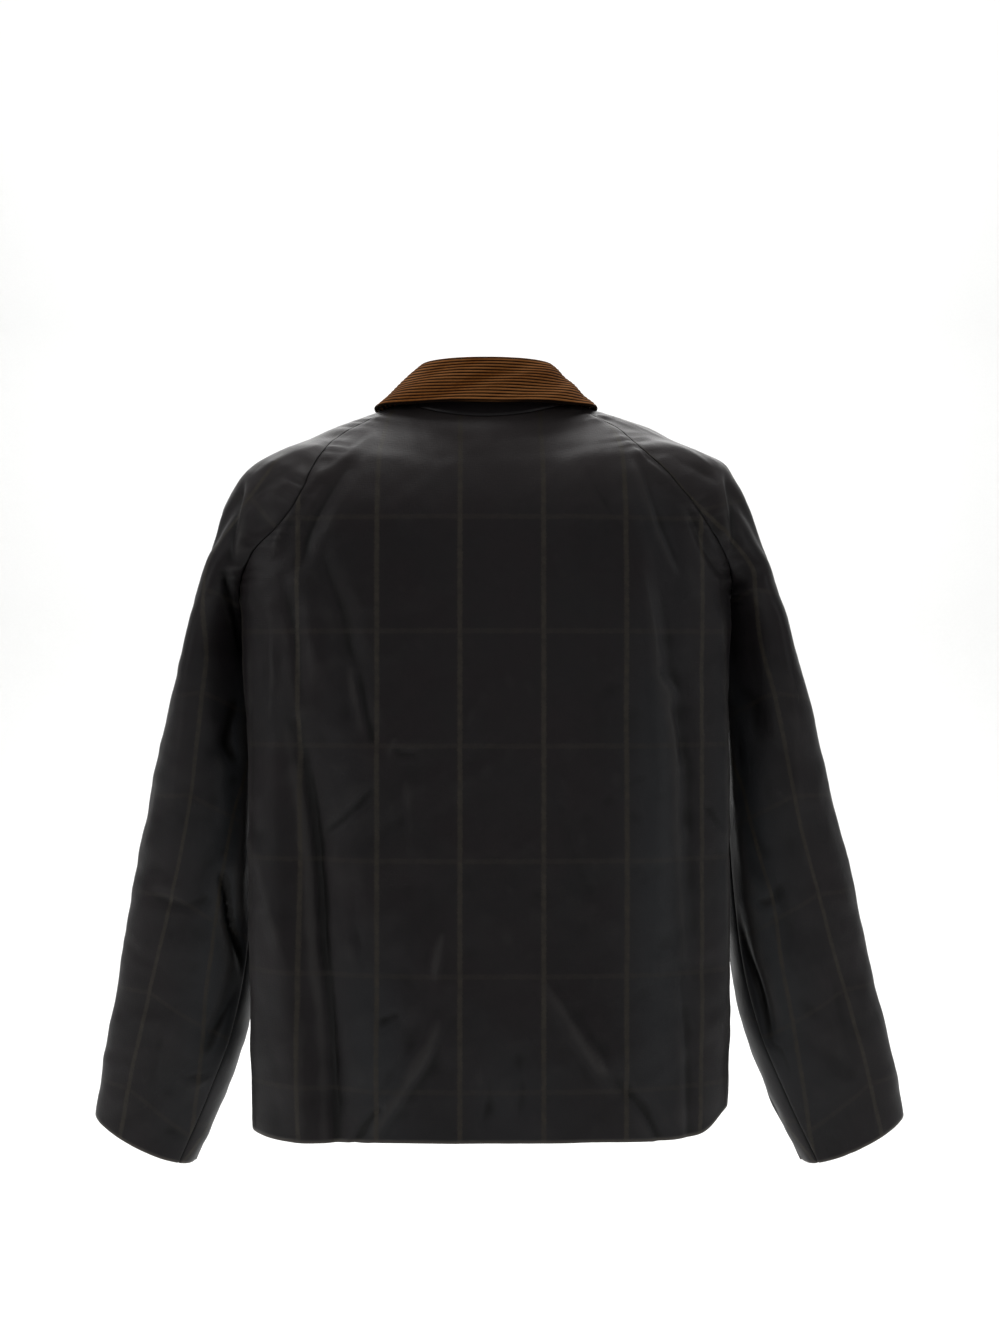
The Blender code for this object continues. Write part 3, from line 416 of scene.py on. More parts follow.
# Creases run along a path of places. Below 0 a crease is a trough. Its two flanks have their own widths:
# `left` and `right` as one goes along the path, with u to the right and v up.
Crease = namedtuple("Crease", "path left right height")
BACK_CREASES = table(Crease, [
    # The long trough down the left side, to the hem.
    (
        [(0.1851, -0.2885), (0.1793, -0.3235), (0.1715, -0.3678), (0.1647, -0.4328), (0.1599, -0.5063),
         (0.154, -0.5512), (0.1472, -0.678), (0.1423, -0.77)],
        0.01, 0.042, -0.0115,
    ),
    ([(0.2331, -0.4064), (0.2179, -0.4374), (0.2034, -0.4888), (0.1862, -0.5444)], 0.014, 0.014, 0.0026),
    ([(0.1793, -0.5582), (0.1783, -0.6338), (0.1752, -0.7346)], 0.024, 0.012, 0.003),
    # Short folds right of it.
    ([(0.1348, -0.2317), (0.1271, -0.2646), (0.1158, -0.3096)], 0.009, 0.007, 0.0024),
    ([(0.1253, -0.2477), (0.1195, -0.2787), (0.1082, -0.319)], 0.006, 0.012, -0.003),
    ([(0.1073, -0.3528), (0.1291, -0.3774), (0.1589, -0.4005)], 0.005, 0.012, -0.003),
    ([(0.0903, -0.3189), (0.0799, -0.3236), (0.064, -0.3254)], 0.004, 0.003, -0.0019),
    ([(0.0865, -0.3086), (0.0922, -0.3161), (0.094, -0.3264)], 0.005, 0.005, 0.0016),
    ([(0.0799, -0.3395), (0.0752, -0.3788), (0.0743, -0.42)], 0.006, 0.01, 0.0015),
    ([(0.0424, -0.4891), (0.049, -0.5153), (0.0518, -0.5396)], 0.008, 0.006, 0.0032),
    ([(0.0442, -0.5694), (0.0601, -0.6059), (0.0817, -0.6408), (0.1119, -0.6838)], 0.018, 0.009, 0.0055),
    ([(0.0996, -0.6543), (0.1119, -0.6679), (0.131, -0.697)], 0.006, 0.009, -0.004),
    ([(0.0818, -0.5661), (0.0931, -0.5718), (0.1082, -0.5779)], 0.006, 0.01, -0.0018),
    ([(0.0021, -0.6158), (0.0003, -0.6457), (0.0068, -0.6755)], 0.006, 0.012, -0.0016),
    ([(-0.025, -0.5991), (-0.0306, -0.6336), (-0.0268, -0.6709)], 0.006, 0.014, -0.0013),
    ([(0.1291, -0.4433), (0.1253, -0.4902), (0.1158, -0.5415)], 0.008, 0.014, -0.0016),
    # Soft folds that fall from the left armpit.
    ([(0.1599, -0.1345), (0.1404, -0.1894), (0.1281, -0.2439)], 0.012, 0.018, -0.003),
    ([(0.1968, -0.1529), (0.1831, -0.2174), (0.1773, -0.2799)], 0.009, 0.014, -0.0027),
    ([(0.2109, -0.1792), (0.207, -0.2459), (0.2113, -0.3031)], 0.009, 0.009, 0.0016),
    # The roll beside the left raglan seam and the hollow under it.
    (
        [(0.1071, -0.0194), (0.147, -0.0508), (0.1793, -0.0718), (0.1983, -0.1032), (0.2069, -0.1412)],
        0.007, 0.01, 0.0038,
    ),
    ([(0.1306, -0.0482), (0.151, -0.0772), (0.1716, -0.1181), (0.1791, -0.1513)], 0.009, 0.015, -0.0043),
    # The same on the right.
    ([(-0.123, -0.0161), (-0.153, -0.0494), (-0.1856, -0.0741), (-0.2099, -0.1063)], 0.009, 0.005, 0.003),
    ([(-0.136, -0.0378), (-0.152, -0.0944), (-0.1766, -0.1588)], 0.026, 0.006, 0.0043),
    ([(-0.0914, -0.0566), (-0.11, -0.0883), (-0.1268, -0.1158)], 0.009, 0.014, -0.0024),
    # The broad plane down the right side, whose edge falls steeply.
    (
        [(-0.1382, -0.1309), (-0.1514, -0.1912), (-0.1591, -0.2458), (-0.1707, -0.2761),
         (-0.1756, -0.3149), (-0.1776, -0.403), (-0.1805, -0.4609), (-0.1863, -0.565)],
        0.044, 0.014, 0.008,
    ),
    ([(-0.1562, -0.243), (-0.162, -0.2477), (-0.1659, -0.2581)], 0.003, 0.004, -0.002),
    ([(-0.1717, -0.2723), (-0.1775, -0.2969), (-0.1835, -0.3387)], 0.004, 0.012, -0.0032),
    ([(-0.1795, -0.5204), (-0.1883, -0.6157), (-0.1905, -0.7346)], 0.007, 0.016, -0.003),
    ([(-0.191, -0.0953), (-0.2095, -0.137), (-0.2274, -0.1593)], 0.006, 0.012, -0.0027),
    ([(-0.2188, -0.1549), (-0.2267, -0.2748), (-0.2289, -0.4677), (-0.2291, -0.6029)], 0.016, 0.004, 0.003),
    ([(-0.2054, -0.3727), (-0.2147, -0.3855), (-0.2254, -0.4017)], 0.004, 0.004, -0.002),
    # Slacker folds over the lower right.
    ([(-0.0474, -0.5312), (-0.0896, -0.5971), (-0.1245, -0.6458)], 0.014, 0.008, 0.0046),
    ([(-0.1037, -0.6208), (-0.1417, -0.655), (-0.1679, -0.7064)], 0.006, 0.012, -0.0036),
    ([(-0.0662, -0.3676), (-0.0775, -0.4145), (-0.1001, -0.4663)], 0.01, 0.014, -0.0012),
    ([(0.0031, -0.2645), (0.0181, -0.2926), (0.0255, -0.3319)], 0.01, 0.012, 0.0011),
    ([(-0.0288, -0.086), (-0.0475, -0.1428), (-0.0549, -0.2177)], 0.016, 0.02, -0.0014),
])
FRONT_CREASES = table(Crease, [
    ([(0.19, -0.165), (0.145, -0.244), (0.118, -0.33)], 0.022, 0.014, -0.0038),
    ([(0.205, -0.19), (0.195, -0.246), (0.175, -0.3)], 0.014, 0.01, -0.0022),
    ([(0.152, -0.35), (0.145, -0.456), (0.128, -0.56)], 0.024, 0.013, -0.004),
    ([(0.132, -0.53), (0.129, -0.633), (0.12, -0.735)], 0.016, 0.026, -0.0036),
    ([(0.092, -0.676), (0.07, -0.619), (0.056, -0.56)], 0.008, 0.016, 0.0022),
    ([(0.055, -0.19), (0.071, -0.244), (0.08, -0.3)], 0.01, 0.018, -0.0014),
    ([(0.1, -0.4), (0.084, -0.382), (0.074, -0.36)], 0.005, 0.01, 0.0013),
    ([(-0.19, -0.17), (-0.152, -0.239), (-0.128, -0.315)], 0.014, 0.024, -0.0038),
    ([(-0.202, -0.21), (-0.195, -0.256), (-0.18, -0.3)], 0.01, 0.012, -0.002),
    ([(-0.14, -0.32), (-0.141, -0.42), (-0.15, -0.52)], 0.014, 0.03, -0.0042),
    ([(-0.152, -0.48), (-0.159, -0.607), (-0.16, -0.735)], 0.014, 0.02, -0.0034),
    ([(-0.07, -0.55), (-0.052, -0.612), (-0.042, -0.676)], 0.014, 0.008, 0.0022),
    ([(-0.058, -0.23), (-0.076, -0.294), (-0.085, -0.36)], 0.016, 0.011, -0.0014),
    ([(-0.19, -0.4), (-0.192, -0.48), (-0.2, -0.56)], 0.01, 0.012, 0.0015),
    ([(-0.105, -0.42), (-0.11, -0.446), (-0.12, -0.47)], 0.006, 0.009, -0.0014),
    ([(0.172, -0.6), (0.184, -0.667), (0.19, -0.735)], 0.01, 0.014, 0.0016),
])
SLEEVE_CREASES = {
    1: table(Crease, [
        ([(89, -0.14), (103, -0.189), (119, -0.235)], 0.005, 0.007, -0.0045),
        ([(116, -0.272), (111, -0.309), (126, -0.342)], 0.008, 0.011, -0.0025),
        ([(117, -0.445), (133, -0.502), (157, -0.562)], 0.016, 0.006, -0.0106),
        ([(150, -0.561), (138, -0.594), (132, -0.642)], 0.008, 0.012, -0.0032),
        ([(117, -0.655), (135, -0.653), (147, -0.65)], 0.004, 0.004, -0.0025),
        ([(126, -0.667), (139, -0.659), (146, -0.655)], 0.004, 0.005, 0.0015),
        ([(114, -0.709), (136, -0.714), (151, -0.711)], 0.004, 0.005, -0.0015),
        ([(85, -0.277), (106, -0.336), (116, -0.404)], 0.012, 0.014, 0.0015),
        ([(45, -0.466), (83, -0.479), (117, -0.466)], 0.008, 0.012, -0.0018),
        ([(89, -0.572), (78, -0.623), (85, -0.68)], 0.009, 0.012, -0.0013),
        ([(67, -0.215), (70, -0.296), (63, -0.376)], 0.01, 0.014, 0.0015),
        ([(-145, -0.36), (-97, -0.405), (-60, -0.46)], 0.01, 0.016, -0.0042),
        ([(-150, -0.45), (-122, -0.499), (-85, -0.54)], 0.012, 0.009, -0.0037),
        ([(-120, -0.27), (-84, -0.302), (-55, -0.34)], 0.012, 0.016, -0.0022),
        ([(-100, -0.56), (-71, -0.587), (-50, -0.62)], 0.008, 0.011, -0.0022),
        ([(-60, -0.12), (-64, -0.171), (-75, -0.22)], 0.012, 0.014, -0.002),
        ([(20, -0.3), (16, -0.38), (5, -0.46)], 0.016, 0.02, 0.0013),
        ([(150, -0.1), (143, -0.25), (138, -0.4), (134, -0.62)], 0.04, 0.04, 0.0085),
    ]),
    -1: table(Crease, [
        ([(152, -0.483), (144, -0.532), (139, -0.575), (145, -0.624)], 0.016, 0.007, -0.0094),
        ([(133, -0.277), (126, -0.337), (141, -0.406)], 0.01, 0.01, -0.002),
        ([(148, -0.62), (137, -0.628), (136, -0.653)], 0.004, 0.006, -0.0022),
        ([(158, -0.635), (147, -0.645), (146, -0.665)], 0.004, 0.005, 0.0015),
        ([(137, -0.708), (135, -0.726), (146, -0.74)], 0.004, 0.005, -0.0015),
        ([(73, -0.197), (71, -0.276), (75, -0.373), (73, -0.453)], 0.012, 0.015, 0.002),
        ([(93, -0.452), (121, -0.476), (141, -0.463)], 0.008, 0.011, -0.0018),
        ([(65, -0.533), (61, -0.595), (70, -0.656)], 0.01, 0.013, -0.0014),
        ([(100, -0.362), (91, -0.366), (81, -0.374)], 0.004, 0.006, 0.0011),
        ([(93, -0.179), (95, -0.256), (112, -0.315)], 0.012, 0.012, -0.0015),
        ([(-135, -0.35), (-88, -0.395), (-52, -0.45)], 0.01, 0.016, -0.0042),
        ([(-150, -0.48), (-118, -0.529), (-78, -0.57)], 0.012, 0.009, -0.0037),
        ([(-115, -0.26), (-84, -0.287), (-60, -0.32)], 0.012, 0.016, -0.0022),
        ([(-105, -0.59), (-77, -0.611), (-55, -0.64)], 0.008, 0.011, -0.0022),
        ([(-62, -0.11), (-63, -0.16), (-72, -0.21)], 0.012, 0.014, -0.002),
        ([(25, -0.38), (11, -0.449), (5, -0.52)], 0.016, 0.02, 0.0013),
        ([(150, -0.1), (143, -0.25), (138, -0.4), (134, -0.61)], 0.04, 0.04, 0.0085),
    ]),
}

# The sharp fold at the back of each shoulder, where the sleeve turns back from the body's plane, and the
# pulls that run to it from the seam. Its places are as seen square on from behind.
SHOULDER_CREASES = {
    1: table(Crease, [
        ([(0.234, -0.05), (0.239, -0.1), (0.243, -0.15)], 0.005, 0.018, 0.0032),
        ([(0.241, -0.062), (0.245, -0.103), (0.249, -0.145)], 0.012, 0.005, -0.0024),
        ([(0.15, -0.028), (0.192, -0.039), (0.232, -0.058)], 0.006, 0.011, 0.0018),
        ([(0.182, -0.05), (0.207, -0.061), (0.229, -0.078)], 0.005, 0.009, -0.0016),
        ([(0.195, -0.068), (0.216, -0.077), (0.234, -0.092)], 0.005, 0.008, 0.0013),
    ]),
    -1: table(Crease, [
        ([(-0.224, -0.046), (-0.226, -0.09), (-0.229, -0.135)], 0.018, 0.005, 0.0034),
        ([(-0.231, -0.052), (-0.233, -0.096), (-0.235, -0.14)], 0.005, 0.012, -0.0028),
        ([(-0.15, -0.022), (-0.186, -0.032), (-0.219, -0.05)], 0.011, 0.006, 0.0018),
        ([(-0.18, -0.046), (-0.202, -0.053), (-0.221, -0.066)], 0.008, 0.005, -0.0015),
    ]),
}
ARM_RADIUS = 0.06
CREASE_ROUNDING = 0.0012
PATH_STEPS = 6
# The rumple's waves: their lengths, how high each is for its length, and how much each bends.
RUMPLE_LENGTHS = (0.110, 0.085, 0.060, 0.047, 0.036, 0.027, 0.021)
RUMPLE_STEEPNESS = 0.0030
RUMPLE_BEND = 1.4
PUCKER_PITCH = 0.016
PUCKER_HEIGHT = 0.0009
PUCKER_REACH = 0.007


def fold_lift(u, v, fold_ends, half_width, height):
    """How far one fold lifts the cloth: full height along its middle, dying away at its ends and sides."""
    u0, v0, u1, v1 = fold_ends
    length2 = (u1 - u0) ** 2 + (v1 - v0) ** 2
    along = np.clip(((u - u0) * (u1 - u0) + (v - v0) * (v1 - v0)) / length2, 0, 1)
    distance2 = (u - u0 - along * (u1 - u0)) ** 2 + (v - v0 - along * (v1 - v0)) ** 2
    swell = 0.35 + 0.65 * np.sin(math.pi * along)
    return height * swell * np.exp(-distance2 / half_width ** 2)


def crease_lift(u, v, crease):
    """How far one crease lifts the cloth: sharp along its path, sloping off over its two flanks."""
    knots = np.arange(len(crease.path))
    at = np.linspace(0, knots[-1], PATH_STEPS * knots[-1] + 1)
    path = np.stack([smooth_line(knots, values, at) for values in zip(*crease.path)], axis=-1)
    best = np.full(u.shape, 1e9)
    offset = np.zeros(u.shape)
    along = np.zeros(u.shape)
    for index, (a, b) in enumerate(zip(path, path[1:])):
        leg = b - a
        part = np.clip(((u - a[0]) * leg[0] + (v - a[1]) * leg[1]) / (leg @ leg), 0, 1)
        du = u - a[0] - part * leg[0]
        dv = v - a[1] - part * leg[1]
        distance = np.hypot(du, dv)
        nearer = distance < best
        best = np.where(nearer, distance, best)
        offset = np.where(nearer, leg[0] * dv - leg[1] * du, offset)
        along = np.where(nearer, (index + part) / (len(path) - 1), along)
    flank = np.where(offset > 0, crease.left, crease.right)
    rounded = np.sqrt(best ** 2 + CREASE_ROUNDING ** 2) - CREASE_ROUNDING
    swell = np.sin(math.pi * np.clip(along, 0, 1)) ** 0.6
    uneven = 0.88 + 0.12 * np.cos(9.0 * along + crease.left * 900)
    return crease.height * (swell * uneven) * np.clip(1 - rounded / flank, 0, 1) ** 1.5


def seam_fade(shape, columns, rows):
    """1 inside a panel, falling to 0 at its side seams and its neck, so that neighbours still meet."""
    count = shape[1] - 1
    place = np.arange(count + 1)
    side = np.clip(np.minimum(place, count - place) / columns, 0, 1)
    neck = np.clip((shape[0] - 1 - np.arange(shape[0])) / rows, 0, 1)
    return neck[:, None] * side[None, :]


def rumple(u, v, seed):
    """The slight unevenness of cloth that nothing stretches flat: a few broad waves that cross."""
    random = np.random.default_rng(seed)
    lift = np.zeros(u.shape)
    for length in RUMPLE_LENGTHS:
        for _ in range(2):
            turn = random.uniform(0, math.pi)
            phase = random.uniform(0, 2 * math.pi)
            wave = 2 * math.pi * (u * math.cos(turn) + v * math.sin(turn)) / length + phase
            bend = RUMPLE_BEND * np.sin(wave * 0.31 + phase * 3)
            lift += length * RUMPLE_STEEPNESS * np.sin(wave + bend)
    return lift


def puckers(grid, first_row, seed, sides):
    """Small swellings where the cloth is drawn in along the raglan seams, at the grid's edges above a row."""
    random = np.random.default_rng(seed)
    lift = np.zeros(grid.shape[:2])
    for side in sides:
        edge = grid[:, side]
        along = length_along(edge)
        phase = random.uniform(0, 2 * math.pi)
        wave = np.sin(2 * math.pi * along / PUCKER_PITCH + 1.6 * np.sin(2 * math.pi * along / 0.053 + phase))
        strength = 0.65 + 0.35 * np.sin(2 * math.pi * along / 0.09 + phase)
        here = np.clip((np.arange(len(grid)) - first_row) / FINE, 0, 1) * wave * strength
        distance = np.linalg.norm(grid - edge[:, None], axis=2) / PUCKER_REACH
        lift += PUCKER_HEIGHT * here[:, None] * distance * np.exp(1 - distance)
    return lift


def settle(grid, u, broad, creases, first_row, seed, extra=0.0):
    """The grid with all its folds pressed in, and how far the creases alone moved each point outward."""
    v = grid[..., 2]
    fade = seam_fade(grid.shape, 2.0 * FINE, 3.0 * FINE)
    low = np.zeros(grid.shape[:2])
    for f in broad:
        low += fold_lift(u, v, f[:4], f.half_width, f.height)
    fine = np.zeros(grid.shape[:2])
    for crease in creases:
        fine += crease_lift(u, v, crease)
    fine += rumple(u, v, seed) + extra
    near = seam_fade(grid.shape, 1.0 * FINE, 1.5 * FINE)
    moved = fine * near + puckers(grid, first_row, seed, (0, -1))
    return grid + grid_normals(grid) * (low * fade + moved)[..., None], moved


def arm_turns(grid, side):
    """Place round the arm of every point, as an arc on the arm's mean radius."""
    offset = grid - grid.mean(axis=1, keepdims=True)
    return np.arctan2(offset[..., 1], side * offset[..., 0]) * ARM_RADIUS


def arc_of(turn):
    """A turn in degrees as an arc on the arm's mean radius."""
    return math.radians(turn) * ARM_RADIUS


plain = {"back": back, "front_left": front[1], "front_right": front[-1]}
plain.update({"sleeve_left": sleeve[1], "sleeve_right": sleeve[-1]})
folded = {}
moved = {}
folded["back"], moved["back"] = settle(back, back[..., 0], BACK_FOLDS, BACK_CREASES, head, 3)
for side, seed in ((1, 5), (-1, 8)):
    name = f"front_{WORD[side]}"
    grid = front[side]
    folded[name], moved[name] = settle(grid, grid[..., 0], FRONT_FOLDS, FRONT_CREASES, head, seed)
    name = f"sleeve_{WORD[side]}"
    grid = sleeve[side]
    turns = arm_turns(grid, side)
    creases = [c._replace(path=[(arc_of(turn), z) for turn, z in c.path]) for c in SLEEVE_CREASES[side]]
    behind = np.clip(grid_normals(grid)[..., 1] / 0.25, 0, 1)
    shoulder = sum(crease_lift(grid[..., 0], grid[..., 2], c) for c in SHOULDER_CREASES[side]) * behind
    broad = [f._replace(turn0=arc_of(f.turn0), turn1=arc_of(f.turn1)) for f in SLEEVE_FOLDS[side]]
    folded[name], moved[name] = settle(grid, turns, broad, creases, SLEEVE_ROWS, seed + 10, shoulder)

# ---------------------------------------------------------------------------------------------------------
# Seams: neighbouring panels share their edge, so each wall there leans halfway to its neighbour's. The edges
# are drawn apart by a hair and roll inward, as the cloth does where it is turned under and stitched.

normals = {name: grid_normals(grid) for name, grid in folded.items()}
shared = {name: value.copy() for name, value in normals.items()}


def halfway(own, other):
    """Edge normals halfway to the neighbour's, or the own ones where the two meet in a sharp crease."""
    likeness = np.clip((own * other).sum(axis=-1, keepdims=True), 0, 1)
    return unit(own + likeness ** 2 * other)


for side in (1, -1):
    b, f = BACK_COLUMN[side], FRONT_COLUMN[side]
    s_back, s_front = (-1, 0) if side > 0 else (0, -1)
    front_name, sleeve_name = f"front_{WORD[side]}", f"sleeve_{WORD[side]}"
    joins = [
        ("back", b, slice(0, head), front_name, f, slice(0, head)),
        ("back", b, slice(head, None), sleeve_name, s_back, slice(SLEEVE_ROWS, None)),
        (front_name, f, slice(head, None), sleeve_name, s_front, slice(SLEEVE_ROWS, None)),
    ]
    for one, one_column, one_rows, other, other_column, other_rows in joins:
        mine = normals[one][one_rows, one_column]
        theirs = normals[other][other_rows, other_column]
        shared[one][one_rows, one_column] = halfway(mine, theirs)
        shared[other][other_rows, other_column] = halfway(theirs, mine)
    low = slice(0, SLEEVE_ROWS + 1)
    both = unit(normals[sleeve_name][low, 0] + normals[sleeve_name][low, -1])
    shared[sleeve_name][low, 0] = both
    shared[sleeve_name][low, -1] = both

# How far the very edge rolls in, over a column of cells this wide, and the share of that beside it.
EDGE_ROLL = 0.0007
EDGE_CELL = 0.0014
ROLL_BESIDE_EDGE = 0.12


def roll_edges(grid, normal, extras, first=True, last=True):
    """Adds a narrow column of cells along the chosen side edges and rolls the very edge inward. `extras` are
    values kept for every point, which get the same new columns."""
    cells = np.concatenate([grid, normal] + [value[..., None] for value in extras], axis=2)
    for chosen, end, inner, where in ((first, 0, 1, 1), (last, -1, -2, -1)):
        if not chosen:
            continue
        edge, beside = cells[:, end], cells[:, inner]
        width = np.linalg.norm(beside[:, :3] - edge[:, :3], axis=1, keepdims=True)
        extra = edge + (beside - edge) * np.minimum(EDGE_CELL / width, 0.5)
        way = (beside[:, :3] - edge[:, :3]) / width
        edge[:, :3] += way * SEAM_GAP / 2 - edge[:, 3:6] * EDGE_ROLL
        extra[:, :3] -= extra[:, 3:6] * EDGE_ROLL * ROLL_BESIDE_EDGE
        place = where if where > 0 else cells.shape[1] - 1
        cells = np.insert(cells, place, extra, axis=1)
    return cells[..., :3], unit(cells[..., 3:6]), [cells[..., 6 + k] for k in range(len(extras))]


# ---------------------------------------------------------------------------------------------------------
# The check: a plain windowpane of thin lines, 78 mm between its uprights and 108 mm between its crosslines.
# Each panel carries its own lengths along and across the cloth, in metres, with a line at every whole pitch.

PANE_WIDTH = 0.0785
PANE_HEIGHT = 0.108
BACK_CROSSLINE_Z = -0.425
BACK_UPRIGHT_X = 0.0275
SLEEVE_CROSSLINE_Z = -0.367
CROSSLINE_CROWDING = 1.05
OUTWARD_FALL = 0.40
INWARD_FALL = 0.20
FALL_REACH = 0.09


def arc_along(grid, axis):
    """Length along the rows or the columns of a grid, from its first one."""
    step = np.linalg.norm(np.diff(grid, axis=axis), axis=2)
    pad = ((0, 0), (1, 0)) if axis == 1 else ((1, 0), (0, 0))
    return np.pad(np.cumsum(step, axis=axis), pad)


def rise_of_back():
    """Heights up the centre back, with the cloth's length to each from the crossline near the middle."""
    centre = back[:, BACK_COLUMNS // 2]
    length = length_along(centre)
    return centre[:, 2], length - np.interp(BACK_CROSSLINE_Z, centre[:, 2], length)


rise_z, rise_length = rise_of_back()


def flat_plan(grid):
    """The grid seen from above, without its heights."""
    return grid * np.array([1.0, 1.0, 0.0])


cloth_u = {}
cloth_v = {}
arc = arc_along(flat_plan(back), 1)
upright = np.array([np.interp(-BACK_UPRIGHT_X, -row[:, 0], length) for row, length in zip(back, arc)])
cloth_u["back"] = arc - upright[:, None]
cloth_v["back"] = np.interp(back[..., 2], rise_z, rise_length)
for side in (1, -1):
    name = f"front_{WORD[side]}"
    grid = front[side]
    arc = arc_along(flat_plan(grid), 1)
    cloth_u[name] = (arc if side > 0 else arc - arc[:, -1:]) - side * PANE_WIDTH / 2
    cloth_v[name] = np.interp(grid[..., 2], rise_z, rise_length)

# Where two uprights run on each sleeve, by the height at its back: the place of the first as a part of the
# way round, and the second's distance from it. The arm's bend crowds them at the elbow.
SleeveLine = namedtuple("SleeveLine", "z place spacing")
SLEEVE_LINES = {
    1: table(SleeveLine, [
        (-0.73, 0.806, 0.078),
        (-0.641, 0.783, 0.069),
        (-0.55, 0.771, 0.055),
        (-0.463, 0.78, 0.046),
        (-0.391, 0.79, 0.043),
        (-0.336, 0.797, 0.056),
        (-0.255, 0.803, 0.077),
        (-0.125, 0.775, 0.0785),
        (-0.05, 0.8, 0.0785),
        (0.015, 0.86, 0.0785),
    ]),
    -1: table(SleeveLine, [
        (-0.73, 0.795, 0.078),
        (-0.665, 0.779, 0.07),
        (-0.55, 0.762, 0.056),
        (-0.444, 0.772, 0.045),
        (-0.361, 0.786, 0.05),
        (-0.311, 0.794, 0.066),
        (-0.245, 0.812, 0.078),
        (-0.17, 0.87, 0.0785),
        (-0.116, 0.93, 0.0785),
        (-0.06, 1.0, 0.0785),
        (0.015, 1.08, 0.0785),
    ]),
}
for side, lines in SLEEVE_LINES.items():
    name = f"sleeve_{WORD[side]}"
    grid = sleeve[side] if side > 0 else sleeve[side][:, ::-1]
    arc = arc_along(grid, 1)
    three_quarters = grid[:, 3 * SLEEVE_COLUMNS // 4]
    z = three_quarters[:, 2]
    keys = [line.z for line in lines]
    place = smooth_line(keys, [line.place for line in lines], z)
    spacing = smooth_line(keys, [line.spacing for line in lines], z)
    columns = np.arange(arc.shape[1]) / SLEEVE_COLUMNS
    first_line = np.array([np.interp(p, columns, row) for p, row in zip(place, arc)])
    from_first = arc - first_line[:, None]
    between = np.clip(from_first, 0, spacing[:, None])
    u = from_first + between * (PANE_WIDTH / spacing[:, None] - 1)
    length = length_along(three_quarters)
    # The crosslines fall to both sides of the first upright, and lie a little closer than on the body.
    length = (length - np.interp(SLEEVE_CROSSLINE_Z, z, length)) * CROSSLINE_CROWDING
    outward_fall = OUTWARD_FALL * np.clip(from_first, 0, FALL_REACH)
    v = length[:, None] + outward_fall + INWARD_FALL * np.clip(-from_first, 0, FALL_REACH)
    cloth_u[name] = u if side > 0 else u[:, ::-1]
    cloth_v[name] = v if side > 0 else v[:, ::-1]

# ---------------------------------------------------------------------------------------------------------
# Waxed cotton: a closely woven cotton soaked in wax, so near black and softly glossy. The wax sits unevenly,
# the cloth is paler where folds rub, partly as wear and partly as painted highlight, and the check shows as
# worn olive threads under the wax. Painted light and painted shade are laid into its colour too.


def colour(hex_code):
    """An sRGB hex colour as linear RGBA."""
    channels = [int(hex_code[k:k + 2], 16) / 255 for k in (1, 3, 5)]
    linear = [c / 12.92 if c <= 0.04045 else ((c + 0.055) / 1.055) ** 2.4 for c in channels]
    return (*linear, 1.0)


def fill(tree, item, inputs):
    """Sets a node's inputs. One given as a socket is linked, and any other value is set."""
    for key, value in inputs.items():
        if isinstance(value, bpy.types.NodeSocket):
            tree.links.new(value, item.inputs[key])
        else:
            item.inputs[key].default_value = value


def add(tree, kind, inputs, **settings):
    """Adds a node with its settings and its inputs, by name or by place."""
    item = tree.nodes.new(kind)
    for key, value in settings.items():
        setattr(item, key, value)
    fill(tree, item, inputs)
    return item


def new_material(name):
    """An empty node material, its tree and its shader, linked to the output."""
    material = bpy.data.materials.new(name)
    material.use_nodes = True
    tree = material.node_tree
    return material, tree, tree.nodes["Principled BSDF"]


waxed_cotton, tree, shader = new_material("waxed_cotton")
cloth_place = add(tree, "ShaderNodeUVMap", {}, uv_map="cloth").outputs[0]
edge_place = add(tree, "ShaderNodeUVMap", {}, uv_map="edges").outputs[0]
object_place = add(tree, "ShaderNodeTexCoord", {}).outputs["Object"]
split = add(tree, "ShaderNodeSeparateXYZ", {0: cloth_place})
edges = add(tree, "ShaderNodeSeparateXYZ", {0: edge_place})
height = add(tree, "ShaderNodeSeparateXYZ", {0: object_place}).outputs["Z"]
checked = add(tree, "ShaderNodeAttribute", {}, attribute_name="checked").outputs["Fac"]
crease_light_and_wear = add(tree, "ShaderNodeAttribute", {}, attribute_name="crease_light_and_wear").outputs["Fac"]
painted_light = add(tree, "ShaderNodeAttribute", {}, attribute_name="painted_light").outputs["Fac"]

# The check's lines are about 5 mm wide with ragged, patchy edges, and its crosslines are fainter.
fuzz = add(tree, "ShaderNodeTexNoise", {"Vector": cloth_place, "Scale": 620.0, "Detail": 2.0}).outputs[0]
fuzz = add(tree, "ShaderNodeMath", {0: fuzz, 1: 0.5}, operation="SUBTRACT").outputs[0]
lines = []
for length, pitch in ((split.outputs["X"], PANE_WIDTH), (split.outputs["Y"], PANE_HEIGHT)):
    line = add(tree, "ShaderNodeMath", {0: length, 1: pitch / 2}, operation="PINGPONG").outputs[0]
    line = add(tree, "ShaderNodeMath", {0: fuzz, 1: 0.0034, 2: line}, operation="MULTIPLY_ADD").outputs[0]
    line_inputs = {0: line, 1: 0.0014, 2: 0.0032, 3: 1.0, 4: 0.0}
    line = add(tree, "ShaderNodeMapRange", line_inputs, interpolation_type="SMOOTHSTEP").outputs[0]
    lines.append(line)
shown = add(tree, "ShaderNodeMath", {0: lines[1], 1: 0.36}, operation="MULTIPLY").outputs[0]
shown = add(tree, "ShaderNodeMath", {0: lines[0], 1: shown}, operation="MAXIMUM").outputs[0]
patchy = add(tree, "ShaderNodeTexNoise", {"Vector": cloth_place, "Scale": 120.0, "Detail": 3.0}).outputs[0]
patchy = add(tree, "ShaderNodeMapRange", {0: patchy, 1: 0.32, 2: 0.68, 3: 0.5, 4: 1.0}).outputs[0]
